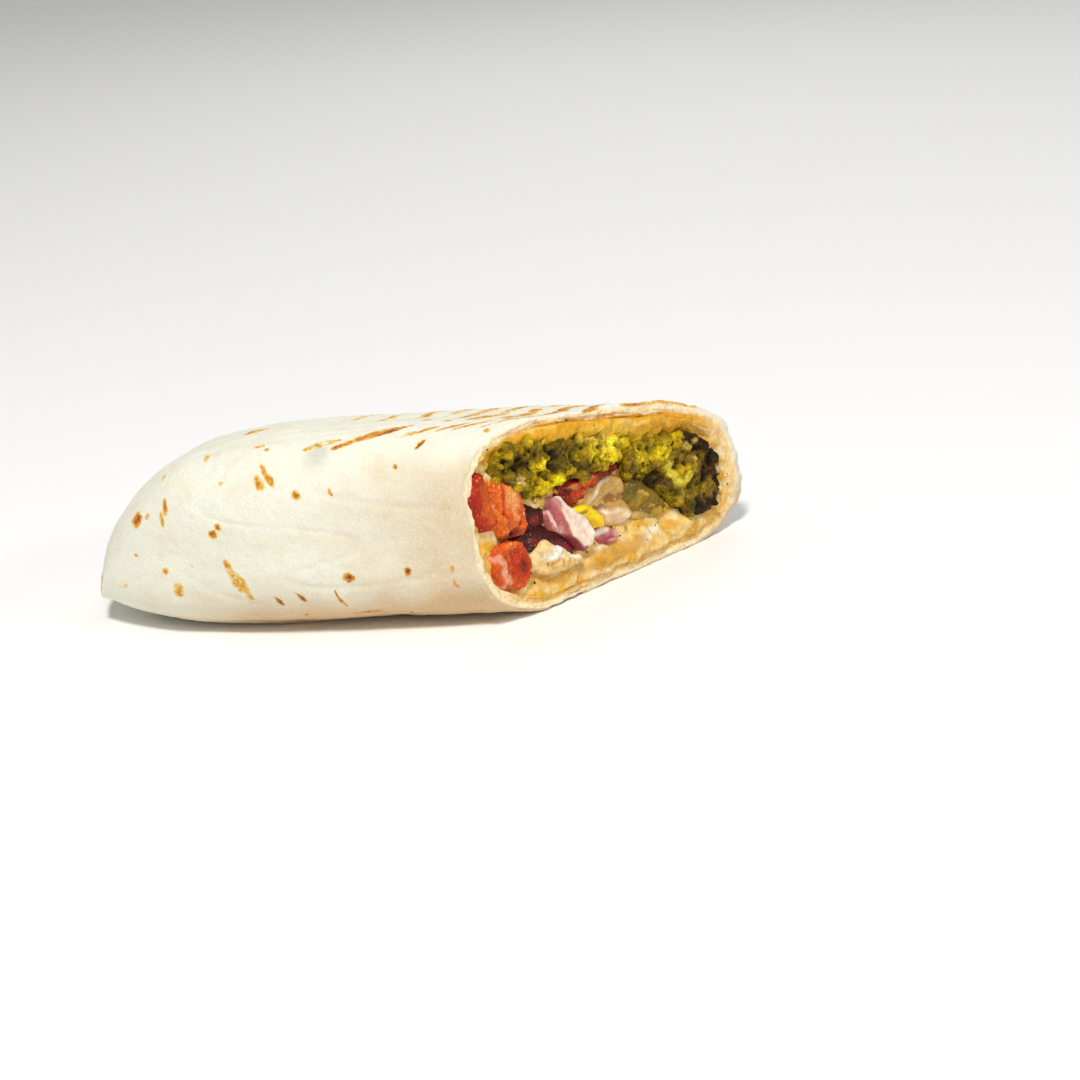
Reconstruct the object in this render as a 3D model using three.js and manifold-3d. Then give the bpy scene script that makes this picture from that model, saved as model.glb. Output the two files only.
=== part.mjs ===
// One half of a falafel wrap: a toasted flatbread roll, folded shut at one end and cut
// on the slant at the other, with its fillings running through it to the cut.
//
// Frame: millimetres, +X from the folded tip to the cut, +Y across the roll towards the
// long side of the cut, +Z up. The roll rests on the flat of its underside, and the
// origin is the middle of the bounding box, on the surface that the roll rests on.

import * as THREE from 'three';
import { mergeVertices } from 'three/addons/utils/BufferGeometryUtils.js';
import Module from 'manifold-3d';

const wasm = await Module();
wasm.setup();

// Driving dimensions

const LENGTH = 110.5;            // folded tip to the middle of the cut
const WIDTH = 63.5;
const HEIGHT = 40.5;             // on the roll's centre line, before the underside is flattened
const SQUARENESS = 3.3;          // exponent of the rounded-square section
const LEAN = 0.186;              // how much taller the -Y side is, and lower the +Y side
const FLAT = 1.2;                // how far the underside is pressed flat

const CUT_TURN = THREE.MathUtils.degToRad(40.4);   // slant of the cut, seen from above
const CUT_TILT = THREE.MathUtils.degToRad(6.1);    // the cut leans back towards its top

const TIP_REACH = 4.5;           // how far the folded tip reaches past station 0
const TIP_WIDTH = 0.42;          // size at the tip, as a share of the full section
const TIP_HEIGHT = 0.26;
const WIDTH_TAPER = 43;          // stations over which the roll swells to its full width
const HEIGHT_TAPER = 47;
const TIP_LIFT = 5.2;            // the folded tip stands this far off the surface
const TIP_LIFT_LENGTH = 30;
const BELLY = 0.04;              // extra width over the thickest filling
const BELLY_AT = 51;
const BELLY_LENGTH = 28;

const SHEET = 1.45;              // thickness of one layer of flatbread
const WALL = { near: 2.1, far: 3.4, top: 3.9, bottom: 5 };   // rolled layers, all together
const FLAP_AT_CUT = -97;         // angle of the loose edge on the underside, degrees
const FLAP_AT_TIP = -141;
const FLAP_RAMP = 0.22;          // share of a turn over which the layer below climbs out
const SLIT = 0.3;                // gap between the rolled layers, where it shows at the cut
const SLIT_DEPTH = 14;

const LAYER_SLITS = [[-84, 141, 1], [-128, -23, 2]];   // from and to angle, layers outside it

const POCKET_START = 24;         // from here on the roll is filled; the tip is folded bread
const GAP = 0.35;                // clearance between neighbouring fillings
const PAST_CUT = 4;              // how far a cutting solid reaches past the cut

// Fineness of the faceted surfaces

const SKIN_MESH = { count: 44, steps: 16 };
const POCKET_MESH = { count: 32, steps: 6 };
const FILLING_STEPS = 4;
const SLIT_STEP = 15;            // degrees
const RING_CROWDING = 1.2;       // above 1, rings crowd towards the tip
const SETTLING_PASSES = 6;       // to find where a tapering section meets the slant
const NEARLY_A_TURN = 359.6;     // leaves the loose edge its step, degrees

// Section of the roll

const cutTan = { y: Math.tan(CUT_TURN), z: Math.tan(CUT_TILT) };

/** Station of the cut plane at a point of the section. */
function cutStation(y, z) {
  return LENGTH + cutTan.y * y - cutTan.z * (z - HEIGHT / 2);
}

/** Swell from a starting share to 1 over a taper, along a quarter of an ellipse. */
function swell(station, taper, start) {
  const t = THREE.MathUtils.clamp((station + TIP_REACH) / (taper + TIP_REACH), 0, 1);
  return start + (1 - start) * Math.sqrt(1 - (1 - t) ** 2);
}

function halfWidth(station) {
  const belly = 1 + BELLY * Math.exp(-(((station - BELLY_AT) / BELLY_LENGTH) ** 2));
  return (WIDTH / 2) * swell(station, WIDTH_TAPER, TIP_WIDTH) * belly;
}

function fullHeight(station) {
  return HEIGHT * swell(station, HEIGHT_TAPER, TIP_HEIGHT);
}

function lift(station) {
  return TIP_LIFT * Math.max(0, 1 - Math.max(0, station) / TIP_LIFT_LENGTH) ** 2;
}

const rounded = (value) => Math.sign(value) * Math.abs(value) ** (2 / SQUARENESS);

/** Point of the section at an angle (degrees from +Y towards +Z), at a depth under the skin. */
function sectionPoint(station, angle, depth) {
  const a = THREE.MathUtils.degToRad(angle);
  const across = rounded(Math.cos(a));
  const up = (rounded(Math.sin(a)) + 1) / 2;
  const height = fullHeight(station) * (1 - LEAN * across);
  return {
    y: (halfWidth(station) - depth) * across,
    z: lift(station) + depth + Math.max(0, up * (height - 2 * depth) - FLAT),
  };
}

/** Thickness of all the rolled layers at an angle: most underneath, where they overlap. */
function wallDepth(angle) {
  const a = THREE.MathUtils.degToRad(angle);
  const side = Math.cos(a) > 0 ? WALL.far : WALL.near;
  const flat = Math.sin(a) > 0 ? WALL.top : WALL.bottom;
  return side + (flat - side) * Math.sin(a) ** 2;
}

// Lofted solids

/**
 * Ring of points a share of the way from a flat back station to the cut plane, which is
 * moved by `proud` along the roll. ringPoint(station, i) gives point i of the section.
 */
function slantedRing(ringPoint, count, back, share, proud) {
  const positions = [];
  for (let i = 0; i < count; i++) {
    let station = back + share * (LENGTH - back);
    for (let pass = 0; pass < SETTLING_PASSES; pass++) {
      const { y, z } = ringPoint(station, i);
      station = back + share * (cutStation(y, z) + proud - back);
    }
    const { y, z } = ringPoint(station, i);
    positions.push(station, y, z);
  }
  return positions;
}

/** Closed solid through rings of points, from back to front, each ring anticlockwise. */
function solidThrough(rings, count) {
  const positions = rings.flat();
  const index = [];
  for (let start = 0; start < (rings.length - 1) * count; start += count) {
    for (let i = 0; i < count; i++) {
      const a = start + i;
      const b = start + (i + 1) % count;
      index.push(a, b, b + count, a, b + count, a + count);
    }
  }
  const last = (rings.length - 1) * count;
  for (const start of [0, last]) {
    const corners = [];
    for (let i = start; i < start + count; i++) {
      corners.push(new THREE.Vector2(positions[3 * i + 1], positions[3 * i + 2]));
    }
    for (const [a, b, c] of THREE.ShapeUtils.triangulateShape(corners, [])) {
      if (start === last) index.push(start + a, start + b, start + c);
      else index.push(start + c, start + b, start + a);
    }
  }
  return solidFrom(positions, index);
}

/** Loft from a flat back station to the cut, its rings turning evenly to the slant. */
function loft(ringPoint, { count, steps, back, proud }) {
  const rings = [];
  for (let step = 0; step <= steps; step++) {
    const share = (step / steps) ** RING_CROWDING;
    rings.push(slantedRing(ringPoint, count, back, share, proud));
  }
  return solidThrough(rings, count);
}

function solidFrom(positions, index) {
  const vertProperties = new Float32Array(positions);
  const triVerts = new Uint32Array(index);
  return new wasm.Manifold(new wasm.Mesh({ numProp: 3, vertProperties, triVerts }));
}

function geometryFrom(solid) {
  const mesh = solid.getMesh();
  const geometry = new THREE.BufferGeometry();
  geometry.setAttribute('position', new THREE.BufferAttribute(mesh.vertProperties, mesh.numProp));
  geometry.setIndex(new THREE.BufferAttribute(mesh.triVerts, 1));
  return mergeVertices(geometry);
}

// Flatbread

/** Outer skin: one turn from the loose edge, the last stretch tucked in under it. */
function skin() {
  const ringPoint = (station, i) => {
    const along = THREE.MathUtils.clamp(station / LENGTH, 0, 1);
    const flap = THREE.MathUtils.lerp(FLAP_AT_TIP, FLAP_AT_CUT, along);
    const turn = i / (SKIN_MESH.count - 1);
    const tucked = Math.max(0, (turn - (1 - FLAP_RAMP)) / FLAP_RAMP);
    const under = SHEET * along * tucked ** 2;
    return sectionPoint(station, flap + NEARLY_A_TURN * turn, under);
  };
  return loft(ringPoint, { ...SKIN_MESH, back: -TIP_REACH, proud: 0 });
}

/** Pocket inside all the layers, open at the cut. */
function pocket(inset, proud) {
  const ringPoint = (station, i) => {
    const angle = (360 * i) / POCKET_MESH.count;
    return sectionPoint(station, angle, wallDepth(angle) + inset);
  };
  return loft(ringPoint, { ...POCKET_MESH, back: POCKET_START + inset, proud });
}

/** Thin gap between two rolled layers, a short way in from the cut. */
function slit(from, to, depth) {
  const steps = Math.round((to - from) / SLIT_STEP);
  const count = 2 * (steps + 1);
  const ringPoint = (station, i) => {
    const inner = i > steps;
    const step = inner ? count - 1 - i : i;
    return sectionPoint(station, from + step * SLIT_STEP, depth + (inner ? SLIT : 0));
  };
  const rings = [-SLIT_DEPTH, PAST_CUT].map((proud) => slantedRing(ringPoint, count, 0, 1, proud));
  return solidThrough(rings, count);
}

function flatbread() {
  let roll = skin().subtract(pocket(0, PAST_CUT));
  for (const [from, to, layers] of LAYER_SLITS) {
    roll = roll.subtract(slit(from, to, layers * SHEET + (layers - 1) * SLIT));
  }
  return roll;
}

// Fillings

/** Size of the pocket at a station, which the fillings share in the same proportions. */
function pocketFrame(station) {
  const floor = lift(station) + WALL.bottom;
  const room = fullHeight(station) - FLAT - WALL.bottom - WALL.top;
  return { half: halfWidth(station) - WALL.near, floor, room };
}

const atCut = pocketFrame(LENGTH);

/** Smooth closed outline through a few points (along the cut, height), offset by `grow`. */
function smoothOutline(points, count, grow) {
  const knots = points.map(([c, z]) => new THREE.Vector3(c * Math.cos(CUT_TURN), z, 0));
  const curve = new THREE.CatmullRomCurve3(knots, true, 'centripetal');
  const outline = curve.getSpacedPoints(count).slice(0, count);
  if (THREE.ShapeUtils.area(outline) < 0) outline.reverse();
  return outline.map((point, i) => {
    const before = outline[(i + count - 1) % count];
    const after = outline[(i + 1) % count];
    const side = new THREE.Vector2(after.y - before.y, before.x - after.x).normalize();
    return { y: point.x + side.x * grow, z: point.y + side.y * grow };
  });
}

/** A filling from its back end to the cut. `grow` makes it the cutter that clears it. */
function filling({ outline, points = 14, back, proud = 0 }, grow = 0) {
  const ring = smoothOutline(outline, points, grow);
  const ringPoint = (station, i) => {
    const frame = pocketFrame(station);
    const rise = (ring[i].z - atCut.floor) / atCut.room;
    return { y: (ring[i].y * frame.half) / atCut.half, z: frame.floor + rise * frame.room };
  };
  const reach = grow > 0 ? PAST_CUT : proud;
  return loft(ringPoint, { count: points, steps: FILLING_STEPS, back: back - grow, proud: reach });
}

// Outlines are in the cut's own plane: [distance along the cut, height], in millimetres.
// The first pieces keep their whole shape, and later ones give way to them.
const FILLINGS = {
  onion_wedge: {
    outline: [[-18.6, 24], [-17.2, 24.8], [-14.8, 21.4], [-10.6, 18], [-8.4, 14.8], [-7.6, 12.2],
      [-10.5, 10], [-13, 10], [-15.4, 13.6], [-17.6, 19]],
    back: 34, proud: 0.9, color: 0xd9a9b4, roughness: 0.3,
  },
  onion_sliver: {
    outline: [[-20.8, 21], [-19.8, 21.8], [-18.6, 20], [-17, 16.2], [-18.4, 15.4], [-20.2, 18]],
    points: 12, back: 38, proud: 0.5, color: 0xc98ba0, roughness: 0.3,
  },
  yellow_pepper: {
    outline: [[-12, 19.6], [-9.8, 19.4], [-7.2, 16.4], [-6.9, 13.4], [-8, 14.4], [-9.6, 17.6]],
    points: 12, back: 40, proud: 0.6, color: 0xe8b90c, roughness: 0.25,
  },
  onion_chip: {
    outline: [[-6.2, 12.9], [-3.2, 12.8], [-0.6, 11.6], [1.4, 9.4], [-1, 8.4], [-3.6, 9], [-5.4, 10.6]],
    points: 12, back: 42, proud: -0.6, color: 0x94476f, roughness: 0.35,
  },
  tomato_slice: {
    outline: [[-39.6, 33], [-38.4, 35.4], [-35.4, 35.4], [-34.6, 32], [-33.9, 28], [-33.8, 24],
      [-36, 22.2], [-38, 25], [-39.6, 29]],
    points: 16, back: 33, proud: 0.4, color: 0xc23a1c, roughness: 0.25,
  },
  tomato_wedge: {
    outline: [[-33.4, 31.8], [-30, 30.6], [-27, 27.4], [-26.4, 23.4], [-27.4, 19.4], [-30.4, 18.6],
      [-33.4, 20.4], [-33.6, 25]],
    points: 16, back: 35, proud: 1, color: 0xdf5f34, roughness: 0.25,
  },
  tomato_end: {
    outline: [[-35.8, 15.4], [-33.4, 17.6], [-30, 17.8], [-27.6, 15.6], [-27, 12], [-28.6, 8.6],
      [-31, 7.4], [-34.6, 9.6]],
    points: 16, back: 37, proud: 0.8, color: 0xcf4226, roughness: 0.25,
  },
  red_pepper_strip: {
    outline: [[-15, 25.6], [-9, 25.2], [-3, 26.4], [4.6, 26.2], [6, 24.4], [1, 23.8], [-5, 22.6],
      [-10, 20.8], [-14.2, 20.6]],
    points: 16, back: 34, proud: -0.4, color: 0xa82312, roughness: 0.3,
  },
  red_pepper_slice: {
    outline: [[-25.4, 23.2], [-22, 22.6], [-21.4, 19.2], [-24, 18.6], [-26.2, 19]],
    points: 10, back: 36, proud: -4, color: 0x7a140c, roughness: 0.3,
  },
  onion_skin: {
    outline: [[-26.6, 17], [-25.4, 18.2], [-21.4, 17.8], [-17.8, 15], [-14.6, 10.6], [-15.4, 9.4],
      [-17.4, 11.2], [-20.4, 14], [-25.4, 15.4]],
    points: 16, back: 39, proud: -2.4, color: 0x5e1526, roughness: 0.35,
  },
  falafel_torn: {
    outline: [[-32.4, 36.6], [-29.6, 38.6], [-22, 37.6], [-13, 36], [-6, 33.8], [0, 33.4], [4.4, 31],
      [5, 28], [0, 27], [-7, 26.4], [-13, 26.4], [-18, 26.2], [-23, 25.8], [-26, 27.6],
      [-28, 31], [-32, 33]],
    points: 20, back: 30, proud: 0.8, color: 0x8f9428, roughness: 0.85,
  },
  falafel_crust: {
    outline: [[6, 28.2], [12, 28.6], [18, 27.4], [24, 27.4], [29, 25.8], [32.6, 22], [34.2, 16],
      [33.6, 10], [30, 7], [25, 7], [21.4, 9.6], [18, 13], [15, 17.6], [9, 21.4], [6.4, 24.4]],
    points: 20, back: 31, proud: 0.6, color: 0x6b5a26, roughness: 0.9,
  },
  white_onion: {
    outline: [[-9.4, 20.4], [-4, 22.2], [2, 23.2], [5, 20.6], [3.6, 17.4], [6.6, 13.4], [3.6, 11.8],
      [-2, 13.6], [-6, 15.4]],
    points: 16, back: 33, proud: -1.6, color: 0xd8d2b0, roughness: 0.2,
  },
  cucumber: {
    outline: [[4.6, 17.4], [8, 20.4], [13, 18], [16.4, 14.6], [17.4, 11.4], [13, 10], [8, 11.6]],
    points: 14, back: 35, proud: -1, color: 0x8f9a4a, roughness: 0.2,
  },
  yogurt_sauce: {
    outline: [[-26.4, 12.2], [-23.6, 14.2], [-19.6, 12.8], [-16.4, 10.2], [-14.6, 8.2], [-20, 8.4],
      [-25.6, 9.4]],
    points: 12, back: 44, proud: 1.2, color: 0xf4ead2, roughness: 0.35,
  },
};

/** Smooth paste that the other fillings lie in, from the folded tip to the cut. */
const HUMMUS = { color: 0xd2a648, roughness: 0.4, proud: -1.2 };

function boxOf(solid) {
  const { min, max } = solid.boundingBox();
  return new THREE.Box3(new THREE.Vector3(...min), new THREE.Vector3(...max));
}

/** Takes away from a solid every cutter whose box reaches it, and keeps its main body. */
function clearOf(solid, cutters) {
  const reach = boxOf(solid);
  for (const cutter of cutters) {
    if (reach.intersectsBox(boxOf(cutter))) solid = solid.subtract(cutter);
  }
  const bodies = solid.decompose();
  return bodies.reduce((best, body) => (body.volume() > best.volume() ? body : best));
}

// Assembly

const wrap = new THREE.Group();

function addPiece(name, solid, { color, roughness }) {
  const material = new THREE.MeshStandardMaterial({ color, roughness, metalness: 0 });
  const mesh = new THREE.Mesh(geometryFrom(solid), material);
  mesh.name = name;
  wrap.add(mesh);
}

addPiece('flatbread', flatbread(), { color: 0xefe3c6, roughness: 0.7 });

const room = pocket(GAP, PAST_CUT);
const cutters = [];
for (const [name, piece] of Object.entries(FILLINGS)) {
  addPiece(name, clearOf(filling(piece).intersect(room), cutters), piece);
  cutters.push(filling(piece, GAP));
}
addPiece('hummus', clearOf(pocket(GAP, HUMMUS.proud), cutters), HUMMUS);

const bounds = new THREE.Box3().setFromObject(wrap);
const middle = bounds.getCenter(new THREE.Vector3());
wrap.position.set(-middle.x, -middle.y, -bounds.min.z);

export default wrap;
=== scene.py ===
"""Half of a falafel wrap: toasted flatbread, cut on the slant over its fillings.

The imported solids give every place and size. The bread's skin, its rolled layers and the face
of each filling are modelled here, on top of them.
"""

import itertools
import math

import bmesh
import bpy
import numpy as np
from mathutils import Matrix, Vector
from mathutils.kdtree import KDTree


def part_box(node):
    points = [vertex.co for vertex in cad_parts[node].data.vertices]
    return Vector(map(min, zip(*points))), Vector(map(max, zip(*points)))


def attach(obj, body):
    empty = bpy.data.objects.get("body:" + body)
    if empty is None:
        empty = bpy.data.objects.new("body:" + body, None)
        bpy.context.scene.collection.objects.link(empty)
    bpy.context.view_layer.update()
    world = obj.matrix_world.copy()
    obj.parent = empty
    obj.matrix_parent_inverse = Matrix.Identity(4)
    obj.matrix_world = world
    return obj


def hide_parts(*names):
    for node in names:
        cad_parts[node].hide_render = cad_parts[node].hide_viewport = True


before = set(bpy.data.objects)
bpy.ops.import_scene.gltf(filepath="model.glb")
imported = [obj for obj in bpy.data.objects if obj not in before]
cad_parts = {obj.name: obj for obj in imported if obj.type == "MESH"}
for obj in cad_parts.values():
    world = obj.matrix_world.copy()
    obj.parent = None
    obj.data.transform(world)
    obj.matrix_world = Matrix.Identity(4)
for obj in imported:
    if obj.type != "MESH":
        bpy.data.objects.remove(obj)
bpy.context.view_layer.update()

MM = 0.001
BODY = "root"
ROLL_LOW, ROLL_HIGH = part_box("flatbread")

# The roll's section, as in the solids, in millimetres: stations run from the tip to the cut
LENGTH = 110.5
WIDTH = 63.5
HEIGHT = 40.5
SQUARENESS = 3.3
LEAN = 0.186
FLAT = 1.2
CUT_SLOPE = math.tan(math.radians(40.4))
CUT_TILT = math.tan(math.radians(6.1))
TIP_REACH = 4.5
TIP_WIDTH = 0.42
TIP_HEIGHT = 0.26
WIDTH_TAPER = 43.0
HEIGHT_TAPER = 47.0
TIP_LIFT = 5.2
TIP_LIFT_LENGTH = 30.0
BELLY = 0.04
BELLY_AT = 51.0
BELLY_LENGTH = 28.0
SHEET = 1.45
WALL_NEAR, WALL_FAR, WALL_TOP, WALL_BOTTOM = 1.3, 3.3, 3.4, 4.6
FLAP_AT_CUT = -97.0
FLAP_AT_TIP = -141.0
FLAP_RAMP = 0.22
NEARLY_A_TURN = 0.999       # the sheet stops just short of its start, which leaves a loose edge
GIRTH_STATION = 90.0        # where the girth is measured
GIRTH_STEPS = 21600
SETTLING_STEPS = 10
SKIN_START = -2.6           # station where the skin's rows begin and the folded tip ends
SKIN_PROUD = 0.35           # how far the skin stands outside its solid
TIP_SLUMP = 0.36            # how far the tip leans back, for each millimetre of height
TIP_SLUMP_ABOVE = 7.0
POCKET_START = 24.0
PASTE_REACH = 26.0          # how far the paste runs back from the cut
RING = 24.0                 # radius of the ring that noise round the roll is read on
FRONT_REACH = 14.0          # how far behind the cut a filling is still shaped
FLESH_VOXEL = 0.36
PASTE_VOXEL = 0.4
CORNER_ROUNDING = 5e-4
WELD = 1e-7                 # metres
FLOOR_GAP = 0.02

SKIN_COLUMNS = 380
TIP_ROWS = 16
SKIN_ROWS = 176
RIM_ROWS = 30
WALL_ROWS = 12
PASTE_COLUMNS = 150
PASTE_ROWS = 60


# --- Numbers: noise, colour and the shape of the roll -------------------------------------

def noise_tables():
    generator = np.random.default_rng(604)
    gradients = generator.normal(size=(256, 3))
    gradients /= np.linalg.norm(gradients, axis=1)[:, None]
    return generator.permutation(256), gradients


SHUFFLE, GRADIENTS = noise_tables()


def noise(points, size, seed=0):
    """Smooth noise, about -1 to 1, with lumps of the given size in millimetres."""
    scaled = points / size + 17.31 * seed
    cell = np.floor(scaled).astype(int)
    part = scaled - cell
    fade = part ** 3 * (part * (part * 6 - 15) + 10)
    total = np.zeros(len(points))
    for corner in itertools.product((0, 1), repeat=3):
        x, y, z = ((cell + corner) & 255).T
        gradient = GRADIENTS[SHUFFLE[(SHUFFLE[(SHUFFLE[x] + y) & 255] + z) & 255]]
        weight = np.prod(np.where(corner, fade, 1 - fade), axis=1)
        total += weight * ((part - corner) * gradient).sum(axis=1)
    return 1.6 * total


def rough(points, size, octaves, seed=0):
    """Noise with finer and finer lumps added, each half as high as the last."""
    return sum(noise(points, size / 2 ** k, seed + k) / 2 ** k for k in range(octaves))


def smooth(low, high, value):
    t = np.clip((value - low) / (high - low), 0, 1)
    return t * t * (3 - 2 * t)


def blend(a, b, share):
    return a + (b - a) * share


def srgb(red, green, blue):
    """A colour from 0 to 255 as the eye sees it, in the linear values that shaders use."""
    seen = np.array([red, green, blue], float) / 255
    return np.where(seen <= 0.04045, seen / 12.92, ((seen + 0.055) / 1.055) ** 2.4)


def cut_station(y, z):
    return LENGTH + CUT_SLOPE * y - CUT_TILT * (z - HEIGHT / 2)


def swell(station, taper, start):
    t = np.clip((station + TIP_REACH) / (taper + TIP_REACH), 0, 1)
    return start + (1 - start) * np.sqrt(1 - (1 - t) ** 2)


def half_width(station):
    belly = 1 + BELLY * np.exp(-(((station - BELLY_AT) / BELLY_LENGTH) ** 2))
    return WIDTH / 2 * swell(station, WIDTH_TAPER, TIP_WIDTH) * belly


def lift(station):
    return TIP_LIFT * np.maximum(0, 1 - np.maximum(0, station) / TIP_LIFT_LENGTH) ** 2


def squared_off(value):
    """A sine or cosine drawn out towards a squarer section, without a crease at its middle."""
    return value * (value * value + CORNER_ROUNDING) ** (1 / SQUARENESS - 0.5)


def section(station, angle, depth):
    """Point of the roll's section at an angle in degrees, at a depth under the skin."""
    across = squared_off(np.cos(np.radians(angle)))
    up = (squared_off(np.sin(np.radians(angle))) + 1) / 2
    height = HEIGHT * swell(station, HEIGHT_TAPER, TIP_HEIGHT) * (1 - LEAN * across)
    y = (half_width(station) - depth) * across
    z = lift(station) + depth + np.maximum(0, up * (height - 2 * depth) - FLAT)
    return y, z


def wall_depth(angle):
    turn = np.radians(angle)
    side = np.where(np.cos(turn) > 0, WALL_FAR, WALL_NEAR)
    flat = np.where(np.sin(turn) > 0, WALL_TOP, WALL_BOTTOM)
    return side + (flat - side) * np.sin(turn) ** 2


def settle(angle_at, depth, share, proud=0.0, back=-TIP_REACH):
    """Stations, y and z of points a share of the way from a back station to the cut."""
    station = back + share * (LENGTH - back) + np.zeros_like(depth)
    for _ in range(SETTLING_STEPS):
        y, z = section(station, angle_at(station), depth)
        station = back + share * (cut_station(y, z) + proud - back)
    y, z = section(station, angle_at(station), depth)
    return np.stack([station, y, z], axis=-1)


def to_frame(points):
    """From station, y and z in millimetres to the frame, in metres."""
    middle = (ROLL_LOW.y + ROLL_HIGH.y) / 2
    placed = points * MM
    placed[..., 0] += ROLL_LOW.x + TIP_REACH * MM
    placed[..., 1] += middle
    return placed


def from_frame(placed):
    points = placed.copy()
    points[..., 0] -= ROLL_LOW.x + TIP_REACH * MM
    points[..., 1] -= (ROLL_LOW.y + ROLL_HIGH.y) / 2
    return points / MM


# --- Meshes ------------------------------------------------------------------------------

def new_piece(name, bm):
    mesh = bpy.data.meshes.new(name)
    bm.to_mesh(mesh)
    bm.free()
    piece = bpy.data.objects.new(name, mesh)
    bpy.context.scene.collection.objects.link(piece)
    return piece


def points_of(mesh):
    flat = np.empty(3 * len(mesh.vertices), np.float32)
    mesh.vertices.foreach_get("co", flat)
    return from_frame(flat.reshape(-1, 3).astype(float))


def move_points(mesh, points):
    mesh.vertices.foreach_set("co", to_frame(points.copy()).astype(np.float32).ravel())
    mesh.update()


def normals_of(mesh):
    flat = np.empty(3 * len(mesh.vertices), np.float32)
    mesh.vertex_normals.foreach_get("vector", flat)
    return flat.reshape(-1, 3).astype(float)


def edges_of(mesh):
    flat = np.empty(2 * len(mesh.edges), np.int32)
    mesh.edges.foreach_get("vertices", flat)
    return flat.reshape(-1, 2)


def set_colour(mesh, name, colours):
    layer = mesh.attributes.new(name, "FLOAT_COLOR", "POINT")
    filled = np.concatenate([np.clip(colours, 0, 1), np.ones((len(colours), 1))], axis=1)
    layer.data.foreach_set("color", filled.astype(np.float32).ravel())


def relax(points, edges, steps, amount=0.5):
    """Points drawn towards the middle of their neighbours, a few times over."""
    a, b = edges.T
    size = len(points)
    count = np.bincount(edges.ravel(), minlength=size)[:, None]
    for _ in range(steps):
        drawn = [np.bincount(a, points[b, k], size) + np.bincount(b, points[a, k], size)
                 for k in range(points.shape[1])]
        points = points + amount * (np.stack(drawn, axis=1) / count - points)
    return points


def wrapped_grid(name, points, **painted):
    """Closed surface through rows of points that go round the roll, welded along its seam.

    Painted values, one number or colour for each point, become attributes of the mesh.
    """
    rows, columns = points.shape[:2]
    bm = bmesh.new()
    bmesh.ops.create_grid(bm, x_segments=columns - 1, y_segments=rows - 1, size=1)
    layers = {key: bm.verts.layers.float_color.new(key) for key in painted}
    placed = to_frame(points.copy())
    for vertex in bm.verts:
        column = round((vertex.co.x + 1) / 2 * (columns - 1))
        row = round((vertex.co.y + 1) / 2 * (rows - 1))
        vertex.co = placed[row, column]
        for key, layer in layers.items():
            vertex[layer] = (*np.broadcast_to(painted[key][row, column], 3), 1)
    bmesh.ops.remove_doubles(bm, verts=bm.verts, dist=WELD)
    bmesh.ops.recalc_face_normals(bm, faces=bm.faces)
    return new_piece(name, bm)


def solid_copy(node):
    """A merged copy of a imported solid's mesh."""
    bm = bmesh.new()
    bm.from_mesh(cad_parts[node].data)
    bmesh.ops.remove_doubles(bm, verts=bm.verts, dist=WELD)
    return bm


def voxelled(name, bm, voxel):
    """The closed shapes in a bmesh as one even mesh of small squares."""
    rough_piece = new_piece(name + ".rough", bm)
    remesh = rough_piece.modifiers.new("voxels", "REMESH")
    remesh.mode = "VOXEL"
    remesh.voxel_size = voxel * MM
    depsgraph = bpy.context.evaluated_depsgraph_get()
    mesh = bpy.data.meshes.new_from_object(rough_piece.evaluated_get(depsgraph))
    old = rough_piece.data
    bpy.data.objects.remove(rough_piece)
    bpy.data.meshes.remove(old)
    mesh.name = name
    piece = bpy.data.objects.new(name, mesh)
    bpy.context.scene.collection.objects.link(piece)
    return piece


def shade_smooth(piece):
    piece.data.polygons.foreach_set("use_smooth", [True] * len(piece.data.polygons))


def keep(piece, finish, slot, *nodes):
    """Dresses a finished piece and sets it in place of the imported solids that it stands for."""
    shade_smooth(piece)
    piece.data.materials.clear()
    piece.data.materials.append(finish)
    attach(piece, BODY)
    if nodes:
        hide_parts(*nodes)
    return piece


def before_cut(points):
    """How far each point lies behind the cut plane, along the roll; negative past it."""
    return cut_station(points[:, 1], points[:, 2]) - points[:, 0]


def on_cut(points):
    """Places in the cut's own plane: along the cut, and height."""
    return np.stack([points[:, 1] * math.hypot(1, CUT_SLOPE), points[:, 2]], axis=1)


def dabbed(points, tone, dabs, wander=0.8, seed=150):
    """Soft dabs of colour on the cut face, with wandering edges.

    Each dab is: along the cut, height, half width, half height, lean in degrees, colour, strength.
    """
    flat = on_cut(points)
    flat = flat + wander * np.stack([noise(points, 3, seed), noise(points, 3, seed + 1)], axis=1)
    fine = np.stack([noise(points, 1.1, seed + 2), noise(points, 1.1, seed + 3)], axis=1)
    flat = flat + 0.4 * wander * fine
    tone = np.broadcast_to(tone, points.shape)
    for along, height, wide, tall, lean, colour, strength in dabs:
        turn = math.radians(lean)
        across, up = flat[:, 0] - along, flat[:, 1] - height
        u = (across * math.cos(turn) + up * math.sin(turn)) / wide
        v = (up * math.cos(turn) - across * math.sin(turn)) / tall
        share = strength * smooth(1.3, 0.65, np.hypot(u, v))
        tone = blend(tone, colour, share[:, None])
    return tone


# --- Materials ---------------------------------------------------------------------------

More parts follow.
